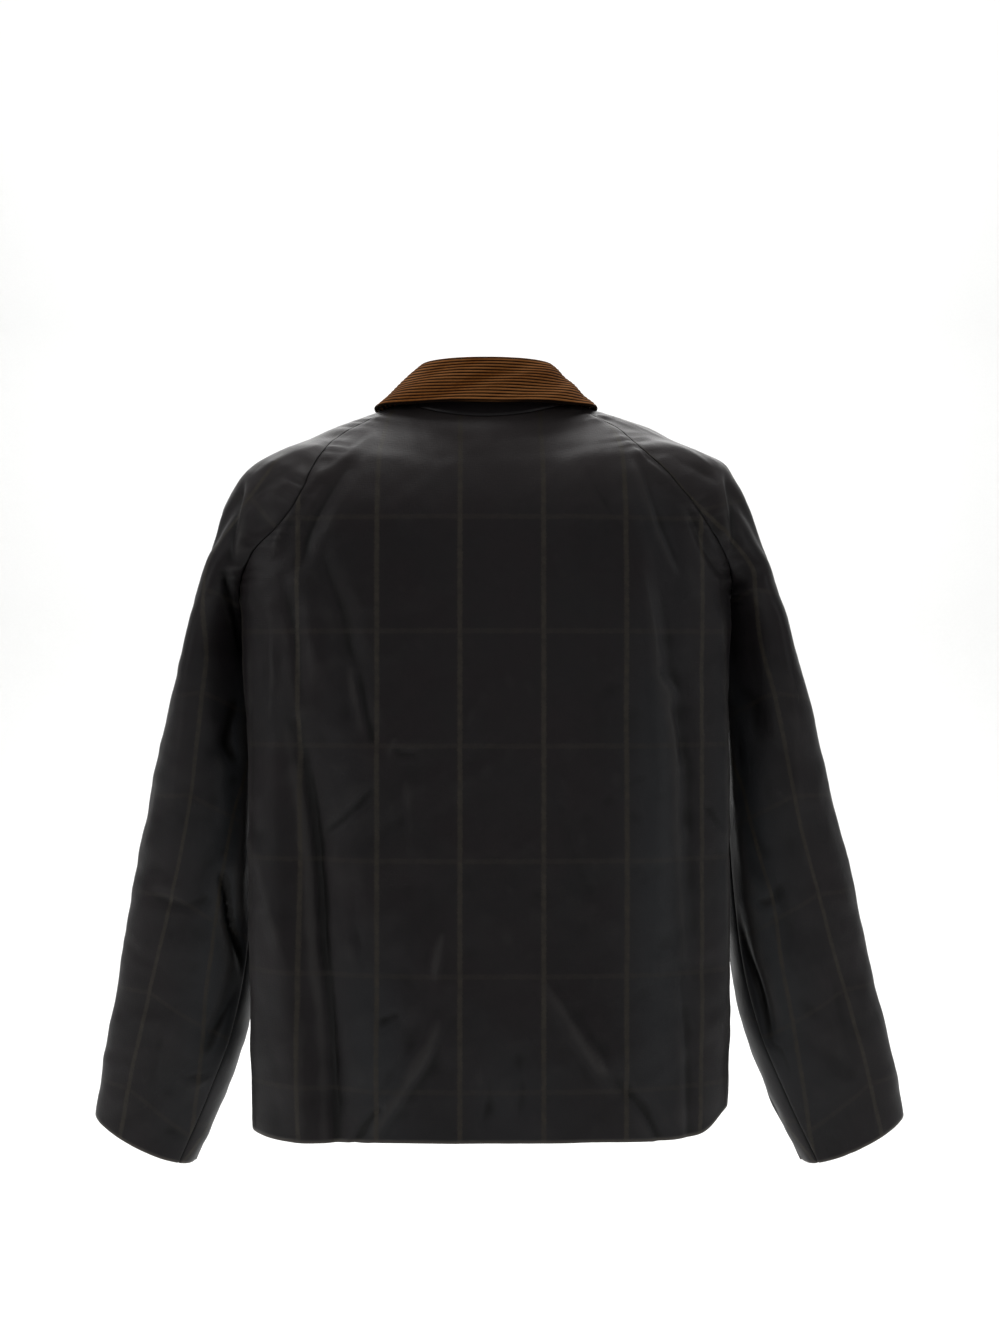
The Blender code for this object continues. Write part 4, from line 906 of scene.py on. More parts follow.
for share in (patchy, checked):
    shown = add(tree, "ShaderNodeMath", {0: shown, 1: share}, operation="MULTIPLY").outputs[0]

# Where each colour shows: the wax is cloudy and broad cooler streaks are painted light. Ridges are paler,
# partly as wear and partly as painted highlight, and troughs are darker as painted shade. The upper back and
# shoulders are paler as painted light from above. A seam's edge is painted dark as shade and the edge of a
# hem is worn.
cloud_inputs = {"Vector": cloth_place, "Scale": 13.0, "Detail": 4.0, "Roughness": 0.6}
cloud = add(tree, "ShaderNodeTexNoise", cloud_inputs).outputs[0]
cloud = add(tree, "ShaderNodeMapRange", {0: cloud, 1: 0.25, 2: 0.75}).outputs[0]
# Painted highlight, partly wear: ridges that the creases raise are paler.
ridge_highlight_and_wear = add(tree, "ShaderNodeMapRange", {0: crease_light_and_wear, 1: 0.56, 2: 1.0, 3: 0.0, 4: 0.6}).outputs[0]
# Painted shade: troughs that the creases sink are darker.
trough_shade = add(tree, "ShaderNodeMapRange", {0: crease_light_and_wear, 1: 0.43, 2: 0.14, 3: 0.0, 4: 0.95}).outputs[0]
# Painted light from above: the cloth grows paler towards the top, over the upper back and shoulders, and the
# stand under the collar gets none.
painted_top_light_inputs = {0: height, 1: -0.120, 2: 0.000, 3: 0.0, 4: 1.0}
painted_top_light = add(tree, "ShaderNodeMapRange", painted_top_light_inputs, interpolation_type="SMOOTHSTEP").outputs[0]
painted_top_light = add(tree, "ShaderNodeMath", {0: painted_top_light, 1: checked}, operation="MULTIPLY").outputs[0]
groove_inputs = {0: edges.outputs["X"], 1: 0.0003, 2: 0.0016, 3: 0.8, 4: 0.0}
groove = add(tree, "ShaderNodeMapRange", groove_inputs).outputs[0]
hem_inputs = {0: edges.outputs["Y"], 1: 0.0006, 2: 0.0034, 3: 0.70, 4: 0.0}
hem_edge = add(tree, "ShaderNodeMapRange", hem_inputs).outputs[0]

# The colours, each laid over the last.
base = colour("#171113")
for share, tone in (
    (cloud, "#141314"),
    (painted_light, "#212224"),
    (ridge_highlight_and_wear, "#302e2d"),
    (trough_shade, "#060505"),
    (painted_top_light, "#2b2727"),
    (shown, "#2d2923"),
    (groove, "#070606"),
    (hem_edge, "#4c4741"),
):
    base = add(tree, "ShaderNodeMix", {0: share, 6: base, 7: colour(tone)}, data_type="RGBA").outputs[2]

# Plain weave, drawn with threads of about 0.9 mm where the real ones are 0.4 mm, so that it can be seen.
threads = []
for stretch in ((1100.0, 160.0, 1.0), (160.0, 1100.0, 1.0)):
    along = add(tree, "ShaderNodeMapping", {"Vector": cloth_place, "Scale": stretch}).outputs[0]
    threads.append(add(tree, "ShaderNodeTexNoise", {"Vector": along, "Scale": 1.0, "Detail": 1.0}).outputs[0])
weave = add(tree, "ShaderNodeMath", {0: threads[0], 1: threads[1]}, operation="ADD").outputs[0]
crumple_inputs = {"Vector": cloth_place, "Scale": 26.0, "Randomness": 1.0}
crumple = add(tree, "ShaderNodeTexVoronoi", crumple_inputs, feature="SMOOTH_F1").outputs["Distance"]
crumpled = add(tree, "ShaderNodeBump", {"Strength": 0.5, "Distance": 0.0012, "Height": crumple}).outputs[0]
woven_inputs = {"Strength": 0.6, "Distance": 0.00022, "Height": weave, "Normal": crumpled}
woven = add(tree, "ShaderNodeBump", woven_inputs).outputs[0]
gloss = add(tree, "ShaderNodeMapRange", {0: cloud, 1: 0.0, 2: 1.0, 3: 0.455, 4: 0.475}).outputs[0]
fill(
    tree,
    shader,
    {
        "Base Color": base,
        "Normal": woven,
        "Roughness": gloss,
        "Specular IOR Level": 0.20,
        "Sheen Weight": 0.015,
        "Sheen Roughness": 0.35,
    },
)


def mesh_object(name, points, faces, material):
    """A mesh of one material, put in the scene."""
    mesh = bpy.data.meshes.new(name)
    mesh.from_pydata([tuple(point) for point in points], [], faces)
    mesh.materials.append(material)
    item = bpy.data.objects.new(name, mesh)
    bpy.context.scene.collection.objects.link(item)
    return item


def wall(name, outer, normal, thickness, material, uvs, marks, lip):
    """A closed wall of cloth behind an outer grid. `uvs` are pairs of lengths for each point, and `marks` are
    single values with their share on the inside. `lip` is how far the turned edge bulges out."""
    rows, columns = outer.shape[:2]
    count = rows * columns
    index = np.arange(count).reshape(rows, columns)
    inner = outer - normal * thickness
    quads = np.stack([index[:-1, :-1], index[:-1, 1:], index[1:, 1:], index[1:, :-1]], axis=-1).reshape(-1, 4)
    rim = np.concatenate([index[0, :-1], index[:-1, -1], index[-1, :0:-1], index[:0:-1, 0]])
    beside = np.concatenate([index[1, :-1], index[:-1, -2], index[-2, :0:-1], index[:0:-1, 1]])
    flat = outer.reshape(-1, 3)
    middle = (flat[rim] + inner.reshape(-1, 3)[rim]) / 2 + unit(flat[rim] - flat[beside]) * lip
    edge = np.arange(len(rim)) + 2 * count
    faces = np.concatenate([
        quads,
        quads[:, ::-1] + count,
        np.stack([np.roll(rim, -1), rim, edge, np.roll(edge, -1)], axis=-1),
        np.stack([np.roll(edge, -1), edge, rim + count, np.roll(rim, -1) + count], axis=-1),
    ])
    points = np.concatenate([flat, inner.reshape(-1, 3), middle])
    item = mesh_object(name, points.tolist(), faces.tolist(), material)
    mesh = item.data
    corner = np.empty(len(mesh.loops), dtype=np.int32)
    mesh.loops.foreach_get("vertex_index", corner)
    for layer_name, (across, up) in uvs.items():
        pairs = np.stack([across.reshape(-1), up.reshape(-1)], axis=-1)
        pairs = np.concatenate([pairs, pairs, pairs[rim]])
        layer = mesh.uv_layers.new(name=layer_name)
        layer.data.foreach_set("uv", pairs[corner].astype(np.float32).reshape(-1))
    for mark_name, (values, behind) in marks.items():
        line = values.reshape(-1)
        line = np.concatenate([line, line * behind, line[rim]]).astype(np.float32)
        mesh.attributes.new(mark_name, "FLOAT", "POINT").data.foreach_set("value", line)
    mesh.shade_smooth()
    mesh.set_sharp_from_angle(angle=math.radians(70))
    return item


# The five panels. Their hems and cuffs are turned under to a soft edge, and the check shows only outside.
# The seam edges say whether a panel's first and last columns are sewn to a neighbour.
HEM_LIP = 0.0007
NO_SEAM = 1.0
SEAM_EDGES = {
    "back": (True, True),
    "front_left": (False, True),
    "front_right": (True, False),
    "sleeve_left": (True, True),
    "sleeve_right": (True, True),
}

# Ridges are paler, partly as wear and partly as painted highlight, and troughs darker as painted shade: a
# place is fully one or the other where the creases move it half of RUB_DEPTH past the mean of the RUB_CELLS
# cells round it.
RUB_DEPTH = 0.0036
RUB_CELLS = 4


def mean_around(values):
    """The mean of the places round each one."""
    padded = np.pad(values, RUB_CELLS, mode="edge")
    windows = np.lib.stride_tricks.sliding_window_view(padded, (2 * RUB_CELLS + 1, 2 * RUB_CELLS + 1))
    return windows.mean(axis=(-1, -2))


# Painted light: broad streaks of a paler, cooler grey between two places, where planes and edges of the back
# face the lights and over the shaded backs of the sleeves beside the body. On a sleeve u is the arc from its
# outer side.
PaintedLight = namedtuple("PaintedLight", "u0 v0 u1 v1 half_width strength")
PAINTED_LIGHTS = {
    "back": [
        PaintedLight(-0.158, -0.19, -0.16, -0.72, 0.03, 1.0),
        PaintedLight(0.118, -0.5, 0.092, -0.72, 0.034, 0.8),
        PaintedLight(0.02, -0.61, -0.06, -0.7, 0.05, 0.55),
        PaintedLight(-0.14, -0.05, -0.178, -0.17, 0.022, 0.6),
        PaintedLight(0.14, -0.24, 0.132, -0.42, 0.022, 0.25),
        PaintedLight(-0.225, -0.2, -0.228, -0.56, 0.012, 0.5),
    ],
    "sleeve_left": [PaintedLight(0.158, -0.2, 0.15, -0.68, 0.048, 1.8)],
    "sleeve_right": [PaintedLight(0.158, -0.2, 0.15, -0.67, 0.048, 1.8)],
}

# Painted highlight: a thin pale line down the whole length of the body's two back corners, beside the
# sleeves.
CORNER_HIGHLIGHTS = [
    Crease([(0.23, -0.18), (0.232, -0.35), (0.2322, -0.5), (0.2312, -0.69)], 0.004, 0.004, 0.45),
    Crease([(-0.2235, -0.14), (-0.229, -0.275), (-0.2305, -0.45), (-0.2296, -0.69)], 0.004, 0.004, 0.55),
]

# What each panel was cut to before it was sewn, and what carries it when the jacket is on: a record that
# nothing here fills in.
Cut = namedtuple("Cut", "width length area carriers")
for name, grid in folded.items():
    first, last = SEAM_EDGES[name]
    side = -1 if name.endswith("right") else 1
    places = arm_turns(grid, side) if name.startswith("sleeve") else grid[..., 0]
    # Broad streaks of painted light on this panel.
    painted_light_share = np.zeros(places.shape)
    for b in PAINTED_LIGHTS.get(name, []):
        painted_light_share += fold_lift(places, grid[..., 2], b[:4], b.half_width, b.strength)
    across = arc_along(plain[name], 1)
    from_side = np.minimum(
        across if first else np.full(across.shape, NO_SEAM),
        across[:, -1:] - across if last else np.full(across.shape, NO_SEAM),
    )
    from_hem = arc_along(plain[name], 0)
    from_side = np.minimum(from_side, from_hem[-1:] - from_hem)
    # Crease tone: above 0.5 a ridge, paler as wear and painted highlight; below it a trough, darker as
    # painted shade.
    crease_tone = 0.5 + (moved[name] - mean_around(moved[name])) / RUB_DEPTH
    # The back's two corners get their thin painted highlight.
    if name == "back":
        crease_tone += sum(crease_lift(grid[..., 0], grid[..., 2], corner) for corner in CORNER_HIGHLIGHTS)
    crease_tone = np.clip(crease_tone, 0, 1)
    extras = [cloth_u[name], cloth_v[name], from_side, from_hem, crease_tone, np.clip(painted_light_share, 0, 1)]
    outer, normal, extras = roll_edges(grid, shared[name], extras, first, last)
    u, v, from_side, from_hem, crease_tone, painted_light_share = extras
    uvs = {"cloth": (u, v), "edges": (from_side, from_hem)}
    marks = {"checked": (np.ones(u.shape), 0.0), "crease_light_and_wear": (crease_tone, 0.6), "painted_light": (painted_light_share, 0.0)}
    item = wall(f"{name}_cloth", outer, normal, CLOTH, waxed_cotton, uvs, marks, HEM_LIP)
    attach(item, "jacket")
    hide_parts(name)

# ---------------------------------------------------------------------------------------------------------
# Collar: a stand of the waxed cotton on the neck seam, and a fall of brown corduroy that rolls over it. The
# corduroy's wales run round the neck, 14 of them from the roll to the lower edge.

CORDUROY = 0.0024
WALES = 14
WALE_HEIGHT = 0.0008
WALE_STEPS = 8
COLLAR_COLUMNS = 160
COLLAR_DIP = 2.6
ROLL_INNER_RADIUS = 0.0014
ROLL_ROWS = 20
STAND_LIP = 0.0004
FALL_LIP = 0.0008
FALL_POINT_X = 0.028

# The collar round the neck, at the centre back, the side and the centre front.
CollarRing = namedtuple("CollarRing", "mid_x wide back front back_z side_z front_z square")
STAND_TOP = CollarRing(0.0030, 0.0625, 0.0640, -0.0920, 0.0500, 0.0500, -0.0240, 2.10)
FALL_EDGE = CollarRing(0.0040, 0.1105, 0.0955, -0.1230, 0.0095, 0.0120, -0.0840, 2.15)


def collar_ring(ring, turns, side):
    """Points round the neck on one side, from the centre back at 90 to the centre front at -90."""
    sine = np.sin(np.radians(turns))
    cosine = np.abs(np.cos(np.radians(turns)))
    power = 2.0 / ring.square
    depth = np.where(sine >= 0, ring.back, -ring.front)
    x = ring.mid_x + side * ring.wide * cosine ** power
    y = depth * np.sign(sine) * np.abs(sine) ** power
    end_z = np.where(sine >= 0, ring.back_z, ring.front_z)
    z = ring.side_z + (end_z - ring.side_z) * np.abs(sine) ** COLLAR_DIP
    return np.stack([x, y, z], axis=-1)


def round_neck(ring, front_gap):
    """A ring's points from the left of the centre front, round the back, to the right of the centre front."""
    edge = -math.degrees(math.acos((front_gap / ring.wide) ** (ring.square / 2)))
    turns = np.linspace(edge, 90.0, COLLAR_COLUMNS // 2 + 1)
    left = collar_ring(ring, turns, 1)
    right = collar_ring(ring, turns, -1)[::-1][1:]
    return np.concatenate([left, right])


neck_parts = [front[1][-1], sleeve[1][-1][1:], back[-1][1:], sleeve[-1][-1][1:], front[-1][-1][1:]]
neck = np.concatenate(neck_parts)
along = length_along(neck)
neck_line = points_at(np.linspace(0.0, along[-1], COLLAR_COLUMNS + 1), along, neck)
neck_line[:, 2] += SEAM_GAP * 2
stand_top = round_neck(STAND_TOP, ZIP_OPENING)
around = unit(np.gradient(stand_top, axis=0))
outward = unit(np.cross(around, np.array([0.0, 0.0, 1.0])))
upward = np.cross(outward, around)

# Its foot is turned in and goes down behind the neck edge, as a seam allowance does.
STAND_ROWS = 20
FOOT_IN = 0.0026
FOOT_DOWN = 0.0030
turned_in = neck_line - outward * FOOT_IN - np.array([0.0, 0.0, FOOT_DOWN])
stand = [neck_line + (stand_top - neck_line) * r / STAND_ROWS for r in range(STAND_ROWS + 1)]
stand = np.array([turned_in] + stand)
stand_u, stand_v = arc_along(stand, 1), arc_along(stand, 0)
# The stand's crease tone of 0.4 darkens it slightly as painted shade.
plain_mark = {"checked": (np.zeros(stand_u.shape), 0.0), "crease_light_and_wear": (np.full(stand_u.shape, 0.4), 1.0)}
stand_normal = np.broadcast_to(outward, stand.shape)
stand_uvs = {"cloth": (stand_u, stand_v), "edges": (stand_v, stand_v + 0.05)}
collar_stand = wall(
    "collar_stand_cloth", stand, stand_normal, CLOTH, waxed_cotton, stand_uvs, plain_mark, STAND_LIP
)
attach(collar_stand, "jacket")
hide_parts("collar_stand")

axis_line = stand_top + outward * ROLL_INNER_RADIUS + upward * SEAM_GAP * 2
fall_edge = round_neck(FALL_EDGE, FALL_POINT_X)
facing = grid_normals(np.array([fall_edge, axis_line]))[1]
tilt = np.arctan2((facing * upward).sum(axis=-1), (facing * outward).sum(axis=-1))
under = []
for step in range(ROLL_ROWS + 1):
    angle = (math.pi + (tilt - math.pi) * step / ROLL_ROWS)[:, None]
    direction = outward * np.cos(angle) + upward * np.sin(angle)
    under.append(axis_line + direction * (ROLL_INNER_RADIUS + CORDUROY))
fall_rows = WALES * WALE_STEPS
fall = np.linspace(under[-1], fall_edge, fall_rows + 1)
flat_fall = np.concatenate([np.array(under), fall[1:]])[::-1]
fall_normal = grid_normals(flat_fall)
fall_length = arc_along(flat_fall[::-1], 0)[::-1]
roll_length = fall_length[fall_rows].mean()
wale_pitch = (fall_length[0] - fall_length[fall_rows]) / WALES
wales = np.abs(np.sin(math.pi * (fall_length - roll_length) / wale_pitch)) ** 0.7
# The fall waves a little, from nothing at the roll.
wavy = 0.0006 * np.sin(arc_along(flat_fall, 1) / 0.0135 + fall_length / 0.020)
dying = np.clip((fall_length - roll_length) / 0.012, 0, 1)
fall_outer = flat_fall + fall_normal * (wales * WALE_HEIGHT + wavy * dying)[..., None]

# Cotton corduroy: soft cut pile, so matt with a velvet sheen and foxy on the tops of its wales. The valleys
# between them are painted dark as shade.
corduroy, tree, shader = new_material("corduroy_brown")
cloth_place = add(tree, "ShaderNodeUVMap", {}, uv_map="cloth").outputs[0]
wale = add(tree, "ShaderNodeAttribute", {}, attribute_name="wale").outputs["Fac"]
nap_place = add(tree, "ShaderNodeMapping", {"Vector": cloth_place, "Scale": (260.0, 900.0, 1.0)}).outputs[0]
nap = add(tree, "ShaderNodeTexNoise", {"Vector": nap_place, "Scale": 1.0, "Detail": 3.0}).outputs[0]
worn_nap = add(tree, "ShaderNodeTexNoise", {"Vector": cloth_place, "Scale": 26.0, "Detail": 3.0}).outputs[0]
worn_nap = add(tree, "ShaderNodeMapRange", {0: worn_nap, 1: 0.38, 2: 0.68, 3: 0.0, 4: 0.85}).outputs[0]
tops = colour("#3c200b")
for share, tone in ((nap, "#7c4a1d"), (worn_nap, "#825630")):
    tops = add(tree, "ShaderNodeMix", {0: share, 6: tops, 7: colour(tone)}, data_type="RGBA").outputs[2]
# Painted shade: the valleys between the wales are darkened to near black.
wale_inputs = {0: wale, 1: 0.45, 2: 1.0}
depth = add(tree, "ShaderNodeMapRange", wale_inputs, interpolation_type="SMOOTHSTEP").outputs[0]
pile_with_valley_shade = add(tree, "ShaderNodeMix", {0: depth, 6: colour("#0c0603"), 7: tops}, data_type="RGBA").outputs[2]
brushed = add(tree, "ShaderNodeBump", {"Strength": 0.6, "Distance": 0.0004, "Height": nap}).outputs[0]
fill(
    tree,
    shader,
    {
        "Base Color": pile_with_valley_shade,
        "Normal": brushed,
        "Roughness": 0.9,
        "Specular IOR Level": 0.03,
        "Sheen Weight": 0.06,
        "Sheen Roughness": 0.45,
        "Sheen Tint": colour("#c08a55"),
    },
)
fall_uvs = {"cloth": (arc_along(flat_fall, 1), fall_length)}
fall_marks = {"wale": (wales, 1.0)}
collar_fall = wall(
    "collar_fall_corduroy", fall_outer, fall_normal, CORDUROY, corduroy, fall_uvs, fall_marks, FALL_LIP
)
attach(collar_fall, "jacket")
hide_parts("collar_fall")

# ---------------------------------------------------------------------------------------------------------
# Zip: woven tapes behind the front edges, two rows of pressed brass teeth that lock between each other, and
# a slider with a pull that hangs from its bridge.

CHAIN_PROUD = 0.0008
CHAIN_THICKNESS = 0.0028
TOOTH_PITCH = 0.0026
TOOTH_START = 0.001
ZIP_END_CLEARANCE = 0.003
SLIDER_Z = -0.086
SLIDER_HALF = 0.006
SLIDER_PIVOT_HEIGHT = 0.0040
PULL_LENGTH = 0.022

zip_line = np.array([(v.mid_x, v.front, v.front_z) for v in levels])
zip_line[0, 2] += ZIP_END_CLEARANCE
zip_line[-1, 2] -= ZIP_END_CLEARANCE

zip_tape, tree, shader = new_material("zip_tape")
object_place = add(tree, "ShaderNodeTexCoord", {}).outputs["Object"]
rib_inputs = {"Vector": object_place, "Scale": 330.0, "Distortion": 0.6}
ribs = add(tree, "ShaderNodeTexWave", rib_inputs, bands_direction="Z").outputs[1]
weft = add(tree, "ShaderNodeMix", {0: ribs, 6: colour("#0d0c0c"), 7: colour("#1c1a19")}, data_type="RGBA")
ribbed = add(tree, "ShaderNodeBump", {"Strength": 0.5, "Distance": 0.0002, "Height": ribs}).outputs[0]
fill(tree, shader, {"Base Color": weft.outputs[2], "Normal": ribbed, "Roughness": 0.85})
for word in WORD.values():
    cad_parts[f"zip_tape_{word}"].material_slots[0].material = zip_tape

# The tapes' corded inner edges, which the teeth are pressed onto: out from the middle, and in from the front.
CORD_SECTION = [(0.0006, 0.0019), (0.0034, 0.0019), (0.0034, 0.0030), (0.0006, 0.0030)]
for side, word in WORD.items():
    section = CORD_SECTION[::side]
    points = [(x + side * out, y + deep, z) for x, y, z in zip_line for out, deep in section]
    last = 4 * (len(zip_line) - 1)
    faces = []
    for row in range(0, last, 4):
        faces += [(row + k, row + (k + 1) % 4, row + 4 + (k + 1) % 4, row + 4 + k) for k in range(4)]
    faces += [(3, 2, 1, 0), (last, last + 1, last + 2, last + 3)]
    cord = mesh_object(f"zip_cord_{word}", points, faces, zip_tape)
    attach(cord, "jacket")

# Brass that has dulled a little: warm, a touch uneven, brighter where it rubs.
brass, tree, shader = new_material("zip_brass")
object_place = add(tree, "ShaderNodeTexCoord", {}).outputs["Object"]
tarnish = add(tree, "ShaderNodeTexNoise", {"Vector": object_place, "Scale": 420.0, "Detail": 3.0}).outputs[0]
metal = add(tree, "ShaderNodeMix", {0: tarnish, 6: colour("#8f6f3a"), 7: colour("#c9a765")}, data_type="RGBA")
dulled = add(tree, "ShaderNodeMapRange", {0: tarnish, 1: 0.3, 2: 0.7, 3: 0.28, 4: 0.44}).outputs[0]
pitted = add(tree, "ShaderNodeBump", {"Strength": 0.15, "Distance": 0.00005, "Height": tarnish}).outputs[0]
fill(tree, shader, {"Base Color": metal.outputs[2], "Roughness": dulled, "Normal": pitted, "Metallic": 1.0})

# The teeth, turn about from the left and the right: a nose and a body, in outline from the middle out, as
# layers from the back to a slightly smaller front face.
TOOTH_OUTLINE = [(-0.0007, 0.0004), (-0.0003, 0.0), (0.0026, 0.0)]
TOOTH_OUTLINE += [(x, 0.0012 - z) for x, z in reversed(TOOTH_OUTLINE)]
TOOTH_LAYERS = [(CHAIN_THICKNESS, 1.0), (0.0004, 1.0), (0.0, 0.72)]
along = length_along(zip_line)
outline_middle = np.mean(TOOTH_OUTLINE, axis=0)
corners = len(TOOTH_OUTLINE)
tooth_points, tooth_faces = [], []
for index in range(2 * int((along[-1] - 2 * TOOTH_START) / TOOTH_PITCH)):
    at = TOOTH_START + index * TOOTH_PITCH / 2
    centre = points_at(at, along, zip_line)
    rise = unit(points_at(at + 0.002, along, zip_line) - centre)
    inward = np.array([0.0, rise[2], -rise[1]])
    side = 1 if index % 2 else -1
    first = len(tooth_points)
    for back_by, size in TOOTH_LAYERS:
        for x, z in outline_middle + (np.array(TOOTH_OUTLINE) - outline_middle) * size:
            depth = inward * (back_by - CHAIN_PROUD)
            tooth_points.append(centre + np.array([side * x, 0.0, 0.0]) + rise * z + depth)
    ring = [list(range(first + layer * corners, first + (layer + 1) * corners)) for layer in range(3)]
    faces = [ring[0], ring[2][::-1]]
    for low, high in zip(ring, ring[1:]):
        for k in range(corners):
            n = (k + 1) % corners
            faces.append([low[k], high[k], high[n], low[n]])
    tooth_faces += faces if side > 0 else [face[::-1] for face in faces]
teeth = mesh_object("zip_teeth", tooth_points, tooth_faces, brass)
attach(teeth, "jacket")
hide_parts("zip_chain")

# The slider: a plate on the chain with a bridge, both leaning with the front, and the pull on the bridge.
heights = zip_line[:, 2]
slider_x = float(np.interp(SLIDER_Z, heights, zip_line[:, 0]))
slider_y = float(np.interp(SLIDER_Z, heights, zip_line[:, 1])) - CHAIN_PROUD - SEAM_GAP
below = float(np.interp(SLIDER_Z - SLIDER_HALF, heights, zip_line[:, 1]))
above = float(np.interp(SLIDER_Z + SLIDER_HALF, heights, zip_line[:, 1]))
slope = math.atan2(above - below, 2 * SLIDER_HALF)


def metal_from(name, data):
    """A brass piece from a curve's solid form."""
    source = bpy.data.objects.new(f"{name}_line", data)
    bpy.context.scene.collection.objects.link(source)
    mesh = bpy.data.meshes.new_from_object(source.evaluated_get(bpy.context.evaluated_depsgraph_get()))
    bpy.data.objects.remove(source)
    bpy.data.curves.remove(data)
    mesh.shade_smooth()
    mesh.materials.append(brass)
    item = bpy.data.objects.new(name, mesh)
    bpy.context.scene.collection.objects.link(item)
    return item


def add_spline(data, points, closed):
    """Adds straight lines through flat points to a curve."""
    spline = data.splines.new("POLY")
    spline.points.add(len(points) - 1)
    for point, (x, y) in zip(spline.points, points):
        point.co = (x, y, 0.0, 1.0)
    spline.use_cyclic_u = closed


def flat_metal(name, outlines, half_thickness, edge_radius):
    """A pressed metal piece: closed outlines in x and z, holes included, with rounded edges in depth."""
    data = bpy.data.curves.new(name, "CURVE")
    data.dimensions = "2D"
    data.fill_mode = "BOTH"
    data.extrude = half_thickness - edge_radius
    data.bevel_depth = edge_radius
    data.bevel_resolution = 3
    data.offset = -edge_radius
    for outline in outlines:
        add_spline(data, outline, True)
    item = metal_from(name, data)
    item.data.set_sharp_from_angle(angle=math.radians(50))
    return item


def rounded_box(x0, x1, z0, z1, radius, steps=5):
    """The outline of a box with round corners."""
    points = []
    corners = ((x1, z1, 0), (x0, z1, 90), (x0, z0, 180), (x1, z0, 270))
    for x, z, start in corners:
        cx = x - math.copysign(radius, x - (x0 + x1) / 2)
        cz = z - math.copysign(radius, z - (z0 + z1) / 2)
        for step in range(steps + 1):
            turn = math.radians(start + 90 * step / steps)
            points.append((cx + radius * math.cos(turn), cz + radius * math.sin(turn)))
    return points


slider = flat_metal("slider_plate", [rounded_box(-0.0046, 0.0046, -0.0075, 0.0060, 0.0020)], 0.0008, 0.0003)
slider.rotation_euler = (math.radians(90) - slope, 0.0, 0.0)
tip = Vector((0.0, math.cos(slope), -math.sin(slope)))
slider.location = Vector((slider_x, slider_y, SLIDER_Z)) - tip * 0.0008
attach(slider, "jacket")
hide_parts("zip_slider")

bridge_data = bpy.data.curves.new("slider_bridge", "CURVE")
bridge_data.dimensions = "2D"
bridge_data.extrude = 0.0007
bridge_data.bevel_depth = 0.0005
bridge_data.bevel_resolution = 3
bridge_line = [(-0.0010, -0.0029), (-0.0040, -0.0029), (-0.0053, -0.0024), (-0.0058, -0.0012)]
add_spline(bridge_data, bridge_line + [(out, -up) for out, up in reversed(bridge_line)], False)
bridge = metal_from("slider_bridge", bridge_data)
on_edge = Matrix(((0, 0, 1, 0), (1, 0, 0, 0), (0, 1, 0, 0), (0, 0, 0, 1)))
leaning = Matrix.Rotation(-slope, 4, "X")
bridge.matrix_world = Matrix.Translation((slider_x, slider_y, SLIDER_Z)) @ leaning @ on_edge
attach(bridge, "jacket")

pull = flat_metal(
    "zip_pull_tab",
    [
        rounded_box(-0.0034, 0.0034, -PULL_LENGTH, 0.0006, 0.0012),
        rounded_box(-0.0018, 0.0018, -0.0070, -0.0006, 0.0006)[::-1],
        rounded_box(-0.0018, 0.0018, -0.0190, -0.0140, 0.0016)[::-1],
    ],
    0.0006,
    0.0002,
)
pull.rotation_euler = (math.radians(90), 0.0, 0.0)
outward_by = Vector((0.0, -math.cos(slope), math.sin(slope))) * SLIDER_PIVOT_HEIGHT
pull.location = Vector((slider_x, slider_y, SLIDER_Z)) + outward_by
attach(pull, "pull")
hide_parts("zip_pull")

# Stitching: the tapes are sewn in with one row of dark thread on each side, 7 mm from the front edge.
thread, tree, shader = new_material("sewing_thread")
object_place = add(tree, "ShaderNodeTexCoord", {}).outputs["Object"]
twist_inputs = {"Vector": object_place, "Scale": 900.0}
twist = add(tree, "ShaderNodeTexWave", twist_inputs, bands_direction="DIAGONAL").outputs[1]
ply = add(tree, "ShaderNodeMix", {0: twist, 6: colour("#15110f"), 7: colour("#2e2722")}, data_type="RGBA")
fill(tree, shader, {"Base Color": ply.outputs[2], "Roughness": 0.7})
STITCH_IN = 0.007
STITCH_PITCH = 0.0034
STITCH_LENGTH = 0.0026
STITCHES_FROM_END = 0.006
THREAD_RADIUS = 0.00028
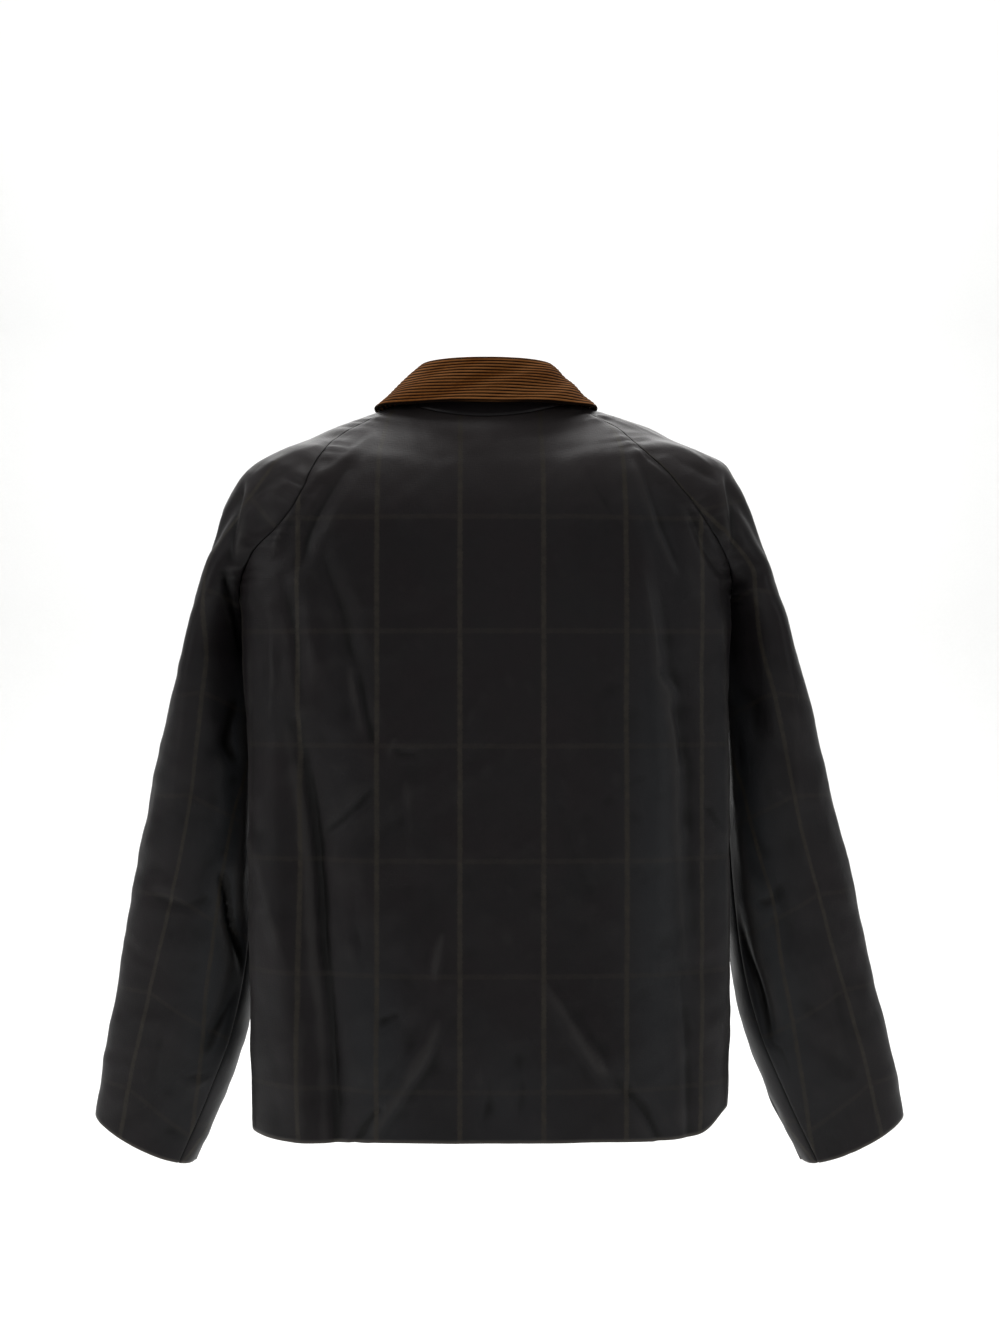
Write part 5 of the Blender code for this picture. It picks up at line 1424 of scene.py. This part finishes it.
# One stitch, as parts of its length with its height there in thread radii: up, over and down again.
STITCH_ARCH = np.array([(0.0, -1.2), (0.18, 0.35), (0.5, 0.55), (0.82, 0.35), (1.0, -1.2)])
THREAD_SIDES = 6
for side, word in WORD.items():
    grid = folded[f"front_{word}"][:, ::side]
    normal = normals[f"front_{word}"][:, ::side]
    lengths = arc_along(grid, 1)
    line = np.array([points_at(STITCH_IN, row, g) for row, g in zip(lengths, grid)])
    facing = np.array([points_at(STITCH_IN, row, n) for row, n in zip(lengths, normal)])
    along = length_along(line)
    points, faces = [], []
    for start in np.arange(STITCHES_FROM_END, along[-1] - STITCHES_FROM_END, STITCH_PITCH):
        at = start + STITCH_LENGTH * STITCH_ARCH[:, 0]
        lift = THREAD_RADIUS * STITCH_ARCH[:, 1]
        spot = points_at(at, along, line)
        out = unit(points_at(at, along, facing))
        across = np.cross(out, unit(spot[-1] - spot[0]))
        first = len(points)
        for p, o, a, raised in zip(spot, out, across, lift):
            for k in range(THREAD_SIDES):
                turn = 2 * math.pi * k / THREAD_SIDES
                ring = o * math.sin(turn) + a * math.cos(turn)
                points.append(p + o * raised + ring * THREAD_RADIUS)
        for low in range(first, len(points) - THREAD_SIDES, THREAD_SIDES):
            for k in range(THREAD_SIDES):
                n = (k + 1) % THREAD_SIDES
                faces.append([low + k, low + n, low + THREAD_SIDES + n, low + THREAD_SIDES + k])
    stitches = mesh_object(f"zip_stitches_{word}", points, faces, thread)
    stitches.data.shade_smooth()
    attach(stitches, "jacket")

# ---------------------------------------------------------------------------------------------------------
# Studio: a pale paper sweep and soft lights, from above and to both sides.

paper, tree, shader = new_material("backdrop_paper")
object_place = add(tree, "ShaderNodeTexCoord", {}).outputs["Object"]
fibre = add(tree, "ShaderNodeTexNoise", {"Vector": object_place, "Scale": 160.0, "Detail": 4.0}).outputs[0]
tone = add(tree, "ShaderNodeMix", {0: fibre, 6: colour("#f4f4f3"), 7: colour("#f9f9f8")}, data_type="RGBA")
fill(tree, shader, {"Base Color": tone.outputs[2], "Roughness": 0.95, "Specular IOR Level": 0.0})

FLOOR_Z = -1.0
SWEEP_START = -3.0
SWEEP_RADIUS = 0.9
profile = [(9.0, FLOOR_Z), (SWEEP_START, FLOOR_Z)]
for step in range(1, 17):
    turn = math.radians(90 * step / 16)
    reach = SWEEP_RADIUS * math.sin(turn)
    profile.append((SWEEP_START - reach, FLOOR_Z + SWEEP_RADIUS * (1 - math.cos(turn))))
profile.append((SWEEP_START - SWEEP_RADIUS, 5.0))
points = [(x, y, z) for y, z in profile for x in (-8.0, 8.0)]
faces = [(2 * k, 2 * k + 1, 2 * k + 3, 2 * k + 2) for k in range(len(profile) - 1)]
backdrop = mesh_object("backdrop", points, faces, paper)
backdrop.data.shade_smooth()

scene = bpy.context.scene
scene.view_settings.view_transform = "Standard"
world = bpy.data.worlds.new("studio")
scene.world = world
world.use_nodes = True
air = world.node_tree.nodes["Background"]
air.inputs["Color"].default_value = colour("#f5f6f8")
air.inputs["Strength"].default_value = 0.21

Light = namedtuple("Light", "name place target width height power")
LIGHTS = [
    Light("overhead", (0.15, -0.10, 2.60), (0.0, 0.0, -0.2), 3.0, 2.0, 80.0),
    Light("key", (2.90, 1.10, 0.60), (0.0, 0.0, -0.35), 0.5, 0.9, 12.5),
    Light("side_fill", (-2.90, 1.20, 0.50), (0.0, 0.0, -0.35), 0.5, 0.9, 8.0),
    Light("fill", (-0.50, 3.30, 0.50), (0.0, 0.0, -0.35), 1.4, 1.4, 4.5),
    Light("front", (0.0, -3.00, 2.00), (0.0, 0.0, -0.1), 3.4, 1.6, 60.0),
    Light("backdrop_glow", (0.0, -1.90, 2.60), (0.0, -3.6, 0.2), 3.4, 1.0, 66.0),
]
for light in LIGHTS:
    data = bpy.data.lights.new(light.name, "AREA")
    data.shape = "RECTANGLE"
    data.size = light.width
    data.size_y = light.height
    data.energy = light.power
    item = bpy.data.objects.new(light.name, data)
    item.location = light.place
    aim = Vector(light.target) - Vector(light.place)
    item.rotation_euler = aim.to_track_quat("-Z", "Y").to_euler()
    item.visible_camera = False
    scene.collection.objects.link(item)
